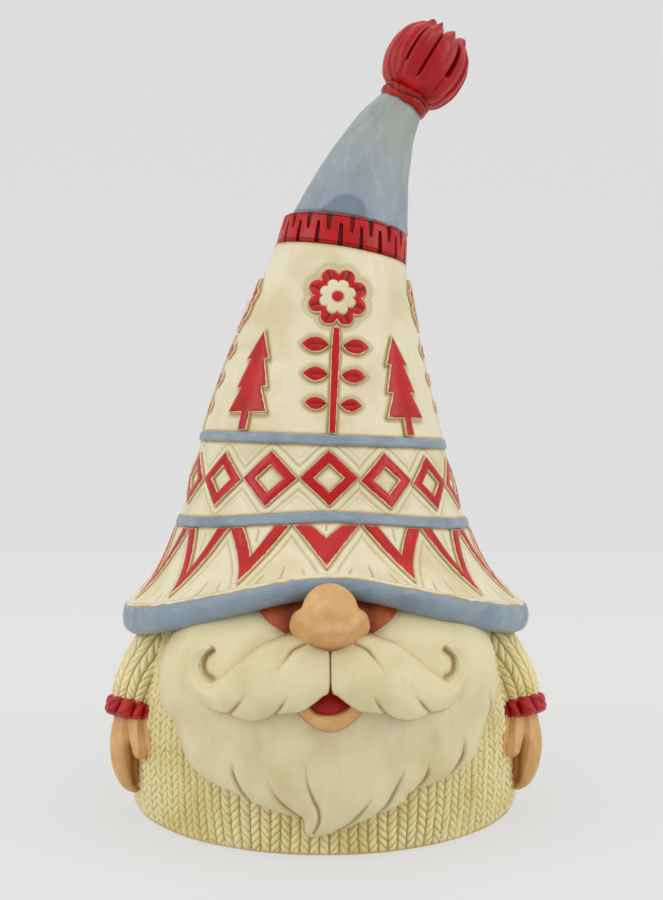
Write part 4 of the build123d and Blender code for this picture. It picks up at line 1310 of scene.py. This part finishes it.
# ---------------------------------------------------------------- beard, moustache, face
BEARD_RADII = [
    (53.2, 1.0), (56.6, 5.0), (59.4, 10), (61.6, 20), (62.0, 34), (61.2, 43), (58.8, 50), (55.6, 56),
    (52.6, 61),
]
BEARD_EDGE = [
    (0, 50), (-8.2, 53.2), (-12.6, 57.2), (-17.2, 61.0), (-23, 62.6), (-31, 59.4), (-37.5, 52.5),
    (-41.4, 46), (-42.4, 38), (-41.2, 33.2), (-38.2, 30.4), (-36.9, 27.0), (-34.8, 22.4), (-31.0, 18.4),
    (-26.5, 16.2), (-22.4, 15.2), (-19, 13.6), (-15.8, 12.2), (-11, 10.9), (-6.8, 10.2), (-6.1, 8.6),
    (-6.0, 6.8), (-4.4, 5.3), (-1.4, 5.5), (3.0, 6.9), (7, 8.8), (11, 10.6), (14.5, 11.4), (18.0, 13.0),
    (19.0, 15.0), (23.5, 16.3), (28, 17.5), (32.5, 19.4), (35.8, 22.2), (37.8, 26), (39.6, 30.2),
    (41.8, 33), (42.9, 38), (42.4, 45), (40.5, 50.5), (34, 57.4), (22, 62.6), (16.2, 61.0),
    (12.2, 57.2), (8.2, 53.2),
]
BEARD_GROOVES = [  # each a list of (x, z), deep end last
    [(-22.7, 23.4), (-22.5, 21.1), (-21.3, 18.1), (-19.0, 13.9)],
    [(-5.6, 24.0), (-5.3, 20.4), (-4.0, 16.3), (-2.7, 13.1), (-2.5, 10.1), (-3.8, 6.8)],
    [(-14.6, 20.0), (-12.1, 15.6), (-9.5, 13.0), (-6.6, 10.6)],
    [(9.6, 15.6), (7.9, 13.1), (5.0, 9.4), (1.8, 6.9)],
    [(17.6, 22.5), (16.5, 20.0), (15.0, 16.7), (13.5, 13.8), (11.0, 10.9)],
    [(23.3, 22.6), (22.9, 19.9), (20.6, 16.4)],
    [(32.3, 27.4), (31.8, 23.2), (29.4, 19.0)],
    [(39.0, 38.0), (39.7, 34.2), (39.4, 30.8)],
]
CURL_RECESS = [(27.6, 48.8), (29.2, 47.4), (29.7, 45.4), (29.0, 43.6), (27.4, 42.7)]
MOUSTACHE_EDGE = [
    (0.15, 50.6), (2.8, 52.4), (6.2, 53.6), (9.4, 53.5), (12.6, 52.6), (15.6, 51.6), (18.5, 49.5),
    (21.5, 47.1), (24.2, 44.6), (26.2, 43.1), (28.0, 42.1), (29.8, 42.9), (30.9, 44.8), (30.5, 47.0),
    (29.2, 48.6), (28.0, 50.0), (31.0, 50.8), (34.0, 49.2), (35.6, 45.6), (35.2, 41.6), (32.8, 38.2),
    (29.4, 36.2), (26.2, 35.6), (23.4, 35.4), (20.8, 34.6), (18.0, 34.4), (15.3, 35.1), (12.9, 36.2),
    (9.8, 36.8), (7.0, 37.2), (4.8, 38.3), (2.1, 40.3), (0.15, 42.7),
]
MOUSTACHE_GROOVES = [
    [(9.9, 40.8), (11.2, 38.6), (13.0, 36.2)],
    [(19.6, 40.3), (21.4, 37.9), (23.5, 35.3)],
    [(11.9, 46.8), (9.8, 49.4), (8.2, 51.0), (5.6, 52.2)],
]
MOUTH_EDGE = [
    (0, 43.4), (3.6, 42.0), (7.0, 39.4), (6.2, 36.4), (0, 34.6), (-6.2, 36.4), (-7.0, 39.4),
    (-3.6, 42.0),
]
LIP_EDGE = [
    (-8.2, 37.8), (-6.1, 35.0), (-3.4, 33.0), (-1.1, 32.2), (0.8, 32.1), (3.4, 33.0), (6.1, 35.0),
    (7.9, 37.8), (5.6, 39.6), (3.6, 37.6), (0.4, 36.6), (-3.0, 36.8), (-4.6, 38.2), (-6.0, 39.8),
]
FACE_EDGE = [(-27, 51), (0, 50.4), (27, 51), (25, 58), (21, 61.4), (0, 61.8), (-21, 61.4), (-25, 58)]


def closed_curve(corners, step=0.4):
    """A smooth closed outline through the corners."""
    p = np.array(corners, float)
    made = []
    for i in range(len(p)):
        a, b, c, d = p[i - 1], p[i], p[(i + 1) % len(p)], p[(i + 2) % len(p)]
        count = max(2, ceil(np.linalg.norm(c - b) / step))
        t = (np.arange(count) / count)[:, None]
        made.append(
            0.5 * (2 * b + (c - a) * t + (2 * a - 5 * b + 4 * c - d) * t**2 + (3 * b - a - 3 * c + d) * t**3)
        )
    return np.vstack(made)


def groove_lines(grooves):
    return [catmull(line, max(6, int(4 * len(line)))) for line in grooves]


def cut_lines(x, z, lines, width, depth):
    """(lift, wash) of tapering grooves, deepest at each line's last point."""
    lift, antiquing_and_shade = np.zeros_like(x), np.zeros_like(x)
    for line in lines:
        best, share = np.full(x.shape, 1e9), np.zeros_like(x)
        for i, (start, end) in enumerate(zip(line[:-1], line[1:])):
            span = end - start
            t = np.clip(((x - start[0]) * span[0] + (z - start[1]) * span[1]) / (span @ span), 0, 1)
            d = np.hypot(x - start[0] - t * span[0], z - start[1] - t * span[1])
            nearer = d < best
            best = np.where(nearer, d, best)
            share = np.where(nearer, (i + t) / (len(line) - 1), share)
        taper = smooth(0.0, 0.55, share)
        section = (bell(best, width) + 0.35 * bell(best, width * 3.2)) / 1.35
        lift = np.minimum(lift, -depth * (0.25 + 0.75 * taper) * section)
        antiquing_and_shade = np.maximum(antiquing_and_shade, (0.35 + 0.65 * taper) * bell(best, width * 0.8))
    return lift, antiquing_and_shade


def relief(name, outline, spacing, surface, back, material, replaces, lines=()):
    """A closed piece seen from the front: surface(x, z, inset) gives (radius, wash) of its face.

    back is the radius of its hidden back; lines are extra runs of points for crisp grooves.
    """
    outline = turned(outline, True)
    gx, gz = staggered_grid(outline, spacing)
    extra = []
    for line in lines:
        along = np.gradient(line, axis=0)
        side = unit_vectors(np.stack([-along[:, 1], along[:, 0]], axis=1))
        extra += [line, line + side * 0.3, line - side * 0.3]
        clear = distance(gx, gz, line, closed=False) > spacing * 0.5 + 0.3
        gx, gz = gx[clear], gz[clear]
    if extra:
        gx = np.concatenate([gx, *[e[:, 0] for e in extra]])
        gz = np.concatenate([gz, *[e[:, 1] for e in extra]])
    inset = -outside_distance(gx, gz, outline)
    keep = inset > spacing * 0.4
    gx, gz, inset = gx[keep], gz[keep], inset[keep]
    x = np.concatenate([outline[:, 0], gx])
    z = np.concatenate([outline[:, 1], gz])
    inset = np.concatenate([np.zeros(len(outline)), inset])
    radius, antiquing_and_shade = surface(x, z, inset)
    y = -np.sqrt(np.maximum(radius**2 - x**2, 4.0))
    back_y = -np.sqrt(np.maximum(back(outline[:, 1]) ** 2 - outline[:, 0] ** 2, 4.0))
    back_y = np.maximum(back_y, y[:len(outline)] + 0.5)
    front = np.stack([x, y, z], axis=1)
    behind = np.stack([outline[:, 0], back_y, outline[:, 1]], axis=1)
    faces = triangulated([outline], np.stack([gx, gz], axis=1))
    count, first = len(outline), len(front)
    faces += [[first + i, first + (i + 1) % count, (i + 1) % count, i] for i in range(count)]
    faces += [[first + v for v in f[::-1]] for f in triangulated([outline], NO_POINTS)]
    values = {"antiquing_and_shade": np.concatenate([antiquing_and_shade, np.full(count, 0.8)])}
    make_piece(name, np.vstack([front, behind]), faces, material, replaces, values)


def flat_back(radius):
    """The same hidden back radius at every height."""
    return lambda z: radius + 0 * z


def body_radius(z):
    return np.interp(z, [p[1] for p in BODY_PROFILE], [p[0] for p in BODY_PROFILE])


beard_curve = catmull(BEARD_RADII, 200)


def beard_radius(x, z):
    """The beard's outside before its grooves, tucked in under the brim."""
    radius = np.interp(z, beard_curve[:, 1], beard_curve[:, 0])
    phi = np.arcsin(np.clip(x / 60.0, -0.99, 0.99))
    tuck = smooth(-6.0, 0.5, z - trim_heights(phi)[1])
    return radius - 2.6 * tuck


def edge_round(inset, width, start=0.3):
    """From start at an edge up to 1 at width inside it, as a quarter round."""
    t = np.clip(inset / width, 0, 1)
    return start + (1 - start) * np.sqrt(1 - (1 - t) ** 2)


def beard_surface(x, z, inset):
    base = body_radius(z) - 0.3
    proud = beard_radius(x, z) - base
    lines = groove_lines(BEARD_GROOVES)
    cut, antiquing_and_shade = cut_lines(x, z, lines, 0.4, 1.4)
    spots = np.stack([x, 0 * x, z * 0.35 + 0.12 * np.abs(x)], axis=1)
    locks = value_noise(spots, 5.5, 101) * 0.95 + value_noise(spots, 2.6, 102) * 0.4
    locks = locks * (1 - smooth(28, 40, z))
    planed = 0.2 * value_noise(np.stack([x, 0 * x, z], axis=1), 7.0, 103)
    curl = distance(np.abs(x), z, catmull(CURL_RECESS, 24), closed=False)
    middle = 1 - 0.55 * smooth(0.6, 1.7, curl)
    curl_wash = 1.15 * bell(curl, 0.6) * middle
    radius = base + np.maximum(proud, 1.2) * edge_round(inset, 4.5) + cut + locks + planed
    radius = radius - 1.5 * bell(curl, 0.7)
    antiquing_and_shade = np.maximum.reduce([antiquing_and_shade * 1.1, curl_wash, 1.2 * (1 - smooth(0.0, 0.5, inset))])
    return radius, antiquing_and_shade


def make_beard():
    lines = groove_lines(BEARD_GROOVES)
    relief(
        "beard", closed_curve(BEARD_EDGE), 0.42, beard_surface, lambda z: body_radius(z) - 1.2,
        beard_cream, ["beard"], lines,
    )


def moustache_surface(x, z, inset):
    x = np.abs(x)
    lines = groove_lines(MOUSTACHE_GROOVES)
    cut, antiquing_and_shade = cut_lines(x, z, lines, 0.36, 1.3)
    height = np.interp(x, [0, 6, 14, 20, 26, 30, 33, 36], [5.6, 6.4, 6.0, 4.6, 2.9, 1.8, 1.0, 0.5])
    width = np.interp(x, [0, 14, 26, 36], [4.2, 5.6, 4.0, 3.0])
    tail = smooth(25, 32, x)
    start = (0.46 + 0.3 * smooth(1.5, 0.4, x)) * (1 - tail)
    lift = height * (start + (1 - start) * edge_round(inset, width, 0.0))
    lift = lift * (1 - tail) + height * smooth(0.0, 3.0, inset) * tail
    planed = 0.22 * value_noise(np.stack([x, 0 * x, z], axis=1), 5.0, 111)
    low = np.maximum(smooth(43.5, 40.5, z), smooth(1.2, 0.6, x))
    edge = (0.4 + 1.3 * low) * (1 - smooth(0.0, 0.45, inset)) * (1 - tail)
    return beard_radius(x, z) + lift + cut + planed, np.maximum(antiquing_and_shade, edge)


def make_moustache():
    outline = closed_curve(MOUSTACHE_EDGE, 0.35)
    outline[:, 0] = np.maximum(outline[:, 0], -0.03)
    for side, sign in (("left", 1), ("right", -1)):
        lines = [line * [sign, 1] for line in groove_lines(MOUSTACHE_GROOVES)]
        relief(
            f"moustache_{side}", outline * [sign, 1], 0.36, moustache_surface, flat_back(54.0),
            beard_cream, [f"moustache_{side}"], lines,
        )


def make_mouth():
    def mouth_surface(x, z, inset):
        tongue = 1.3 * bell(np.hypot(x * 0.8, z - 37.6), 2.6)
        shade = 0.75 * (1 - smooth(0.0, 1.0, inset)) + 0.3 * smooth(40, 43, z)
        return np.maximum(61.3, beard_radius(x, z) + 0.7) + tongue, shade

    def lip_surface(x, z, inset):
        # the second value is painted shade round the lip's edge
        return 62.0 + 2.6 * edge_round(inset, 1.6, 0.25), 1.0 * (1 - smooth(0.1, 0.7, inset))

    back = flat_back(57.0)
    mouth, lip = closed_curve(MOUTH_EDGE, 0.3), closed_curve(LIP_EDGE, 0.3)
    relief("mouth", mouth, 0.3, mouth_surface, back, mouth_red, ["mouth"])
    relief("lower_lip", lip, 0.3, lip_surface, back, skin_paint, ["lower_lip"])


def make_face():
    def face_surface(x, z, inset):
        cheek = 1.2 * bell(np.abs(x) - 13, 4.5) * bell(z - 56, 4.5)
        base = np.interp(z, [46, 54, 61.8], [55.5, 54.0, 51.0])
        # painted shade: darker at the top under the hat's rolled edge and beside the nose
        antiquing_and_shade = 0.8 * smooth(58, 61, z) + 0.7 * bell(np.abs(x) - 9.5, 1.6)
        return base + cheek - 4.0 * smooth(13.5, 21.0, np.abs(x)), np.clip(antiquing_and_shade, 0, 1)

    face = closed_curve(FACE_EDGE, 0.5)
    relief("face", face, 0.6, face_surface, flat_back(46.0), cheek_red, ["face"])


NOSE_MIDDLE = np.array([0.0, -61.0, 57.6])
NOSE_BLOBS = [  # (centre, radii)
    ((0.0, -61.0, 60.2), (6.3, 7.3, 5.8)),
    ((-5.6, -60.4, 56.0), (4.2, 6.0, 4.0)),
    ((5.6, -60.4, 56.0), (4.2, 6.0, 4.0)),
    ((0.0, -62.6, 55.2), (4.9, 6.6, 4.9)),
]
NOSE_PLANES = [  # (direction, distance from NOSE_MIDDLE): flats left by the knife
    ((-0.55, -0.8, 0.25), 7.0), ((0.6, -0.78, 0.2), 7.0), ((0.05, -0.98, -0.2), 8.3),
    ((0.0, -0.8, 0.6), 7.8), ((-0.75, -0.5, -0.45), 7.0), ((0.75, -0.5, -0.45), 7.0),
    ((-0.5, -0.45, 0.74), 6.4), ((0.5, -0.45, 0.74), 6.4), ((-0.95, -0.2, 0.2), 8.2),
    ((0.95, -0.2, 0.2), 8.2), ((0.3, -0.6, -0.75), 6.6), ((-0.3, -0.6, -0.75), 6.6),
]


def make_nose():
    rows, columns = 150, 260
    rise = np.linspace(-pi / 2 + 0.02, pi / 2 - 0.02, rows)[:, None]
    turn = turns(columns, rows)
    ray = np.stack([np.cos(rise) * np.sin(turn), -np.cos(rise) * np.cos(turn), np.sin(rise) + 0 * turn], axis=-1)
    low, high = np.zeros(turn.shape), np.full(turn.shape, 14.0)
    for _ in range(18):
        reach = (low + high) / 2
        point = NOSE_MIDDLE + ray * reach[..., None]
        fields = [np.sum(((point - c) / r) ** 2, axis=-1) ** 0.5 - 1 for c, r in NOSE_BLOBS]
        merged = -np.log(sum(np.exp(-9 * f) for f in fields)) / 9
        within = merged < 0
        low, high = np.where(within, reach, low), np.where(within, high, reach)
    reach = low
    for direction, gap in NOSE_PLANES:
        unit = np.array(direction) / np.linalg.norm(direction)
        facing = np.maximum(ray @ unit, 1e-3)
        flat = gap / facing
        mixed = -np.log(np.exp(-4.5 * reach) + np.exp(-4.5 * np.minimum(flat, 60))) / 4.5
        reach = np.where(facing > 0.2, mixed, reach)
    points = NOSE_MIDDLE + ray * reach[..., None]
    # painted shade: darker on the nose's underside and towards the face behind it
    antiquing_and_shade = smooth(52.6, 50.8, points[..., 2]) + 0.7 * smooth(-59.0, -57.0, points[..., 1])
    closed_stack("nose", points, skin_paint, ["nose"], {"antiquing_and_shade": np.clip(antiquing_and_shade, 0, 1)})


# ---------------------------------------------------------------- inner parts that keep their CAD shape
def cast_resin(name):
    s = Shader(name)
    fine = s.noise(8.0 / 6, 3.0)
    colour = s.tint(linear(226, 218, 196), linear(196, 184, 150), s.noise(8.0, 3.0), 0.45, 0.75)
    colour = s.tint(colour, linear(238, 232, 214), fine, 0.5, 0.8, 0.5)
    return s.finish(colour, 0.45, s.bump(fine, 0.3, 0.2), coat=0.1)


def steel(name):
    s = Shader(name)
    grain = s.noise(1.2, 3.0, (1, 1, 0.2))
    s.surface.inputs["Metallic"].default_value = 1.0
    shade = s.tint(linear(190, 190, 188), linear(120, 118, 112), grain, 0.4, 0.8)
    return s.finish(shade, s.maths("ADD", 0.3, s.maths("MULTIPLY", grain, 0.2)), s.bump(grain, 0.2, 0.05))


def felt_cloth(name):
    s = Shader(name)
    fibres = s.noise(0.35, 6.0)
    broad = s.noise(6.0, 3.0)
    colour = s.mix(linear(58, 74, 60), linear(38, 50, 42), s.step(broad, 0.35, 0.75))
    colour = s.mix(colour, linear(96, 108, 92), s.maths("MULTIPLY", s.step(fibres, 0.55, 0.8), 0.6))
    s.surface.inputs["Sheen Weight"].default_value = 0.4
    return s.finish(colour, 0.95, s.bump(fibres, 0.8, 0.2), specular=0.2)


def wood(name):
    s = Shader(name)
    grain = s.noise(1.4, 5.0, (1, 1, 0.08))
    colour = s.mix(linear(205, 172, 122), linear(160, 118, 72), s.step(grain, 0.35, 0.7))
    return s.finish(colour, 0.6, s.bump(grain, 0.4, 0.1))


def dress_inner_parts():
    finishes = {
        "felt_pad": felt_cloth("felt_green"),
        "base_plate": cast_resin("cast_resin"),
        "arm_pins": steel("pin_steel"),
        "pompom_pin": steel("pin_steel_thin"),
        "crown_dowel": wood("dowel_wood"),
    }
    for node, material in finishes.items():
        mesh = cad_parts[node].data
        mesh.materials.clear()
        mesh.materials.append(material)


trim_blue = trim_paint("trim_blue")
tip_blue = tip_paint("tip_blue")
rib_red = lacquer_red("rib_red")
pompom_red = lacquer_red("pompom_red", linear(160, 0, 0), linear(190, 14, 12), linear(54, 4, 4))
cuff_red = lacquer_red("cuff_red", linear(168, 2, 4), linear(198, 40, 44), linear(92, 2, 6), 0.1)
mouth_red = lacquer_red("mouth_red", linear(150, 2, 0), linear(166, 14, 8), linear(96, 6, 0), 0.0)
knit_cream = cream_paint(
    "knit_cream", linear(231, 221, 168), linear(214, 199, 130), linear(178, 138, 42), linear(138, 98, 26)
)
beard_cream = cream_paint(
    "beard_cream", linear(218, 207, 166), linear(205, 191, 144), linear(168, 136, 64), linear(108, 78, 28)
)
skin_paint = carved_skin("skin_paint", linear(204, 156, 96), linear(160, 92, 24), linear(218, 174, 118))
cheek_red = carved_skin("cheek_red", linear(160, 64, 4), linear(108, 34, 0), linear(178, 88, 24))

make_band("hat_band_lower", LOWER_BAND)
make_band("hat_band_upper", UPPER_BAND)
make_trim()
make_underside()
make_rib_band()
make_tip()
make_collar()
make_pompom()
make_sweater()
make_sleeves()
make_cuffs()
make_hands()
make_beard()
make_moustache()
make_mouth()
make_face()
make_nose()
dress_inner_parts()


# ---------------------------------------------------------------- floor, light and camera
def make_tent():
    """A pale floor that curves up into a round wall, open at the top."""
    profile = [(0.0, 0.0), (0.5, 0.0), (1.1, 0.0)]
    profile += [(1.1 + 0.7 * np.sin(a), 0.7 - 0.7 * np.cos(a)) for a in np.linspace(0.1, pi / 2, 14)]
    profile += [(1.8, 1.4), (1.8, 2.2)]
    sides = 96
    turn = np.arange(sides) * TURN / sides
    points = [[r * np.cos(t), r * np.sin(t), z] for r, z in profile[1:] for t in turn]
    points.append([0.0, 0.0, 0.0])
    mesh = bpy.data.meshes.new("floor")
    faces = [f[::-1] for f in grid_faces(len(profile) - 1, sides)]
    centre = len(points) - 1
    faces += [[i, (i + 1) % sides, centre] for i in range(sides)]
    mesh.from_pydata(points, [], faces)
    mesh.polygons.foreach_set("use_smooth", [True] * len(mesh.polygons))
    s = Shader("floor_paper")
    s.surface.inputs["Emission Color"].default_value = linear(255, 255, 255)
    s.surface.inputs["Emission Strength"].default_value = 0.56
    mesh.materials.append(s.finish(linear(124, 124, 123), 0.8, specular=0.0))
    floor = bpy.data.objects.new("floor", mesh)
    bpy.context.scene.collection.objects.link(floor)


def make_light(name, place, size, power, aim=(0, 0, 0.1)):
    data = bpy.data.lights.new(name, "AREA")
    data.shape = "RECTANGLE"
    data.size, data.size_y = size
    data.energy = power
    lamp = bpy.data.objects.new(name, data)
    lamp.location = place
    lamp.rotation_euler = (Vector(aim) - Vector(place)).to_track_quat("-Z", "Y").to_euler()
    lamp.visible_camera = False
    bpy.context.scene.collection.objects.link(lamp)


def make_camera():
    data = bpy.data.cameras.new("camera")
    data.lens = 46.0
    data.sensor_width = 36.0
    data.clip_start, data.clip_end = 0.01, 20.0
    camera = bpy.data.objects.new("camera", data)
    camera.location = (-0.006, -0.325, 0.0997)
    aim = Vector((0.0018, 0.0, 0.096))
    camera.rotation_euler = (aim - camera.location).to_track_quat("-Z", "Y").to_euler()
    bpy.context.scene.collection.objects.link(camera)
    bpy.context.scene.camera = camera


make_tent()
make_light("softbox_left", (-0.75, -0.35, 0.45), (0.45, 0.8), 2.1)
make_light("softbox_right", (0.75, -0.35, 0.45), (0.45, 0.8), 2.1)
make_light("overhead", (0.0, -0.1, 1.3), (1.4, 1.4), 3.4)
world = bpy.data.worlds.new("studio")
world.use_nodes = True
world.node_tree.nodes["Background"].inputs["Color"].default_value = (1, 1, 1, 1)
world.node_tree.nodes["Background"].inputs["Strength"].default_value = 0.8
bpy.context.scene.world = world
bpy.context.scene.view_settings.view_transform = "Standard"
make_camera()
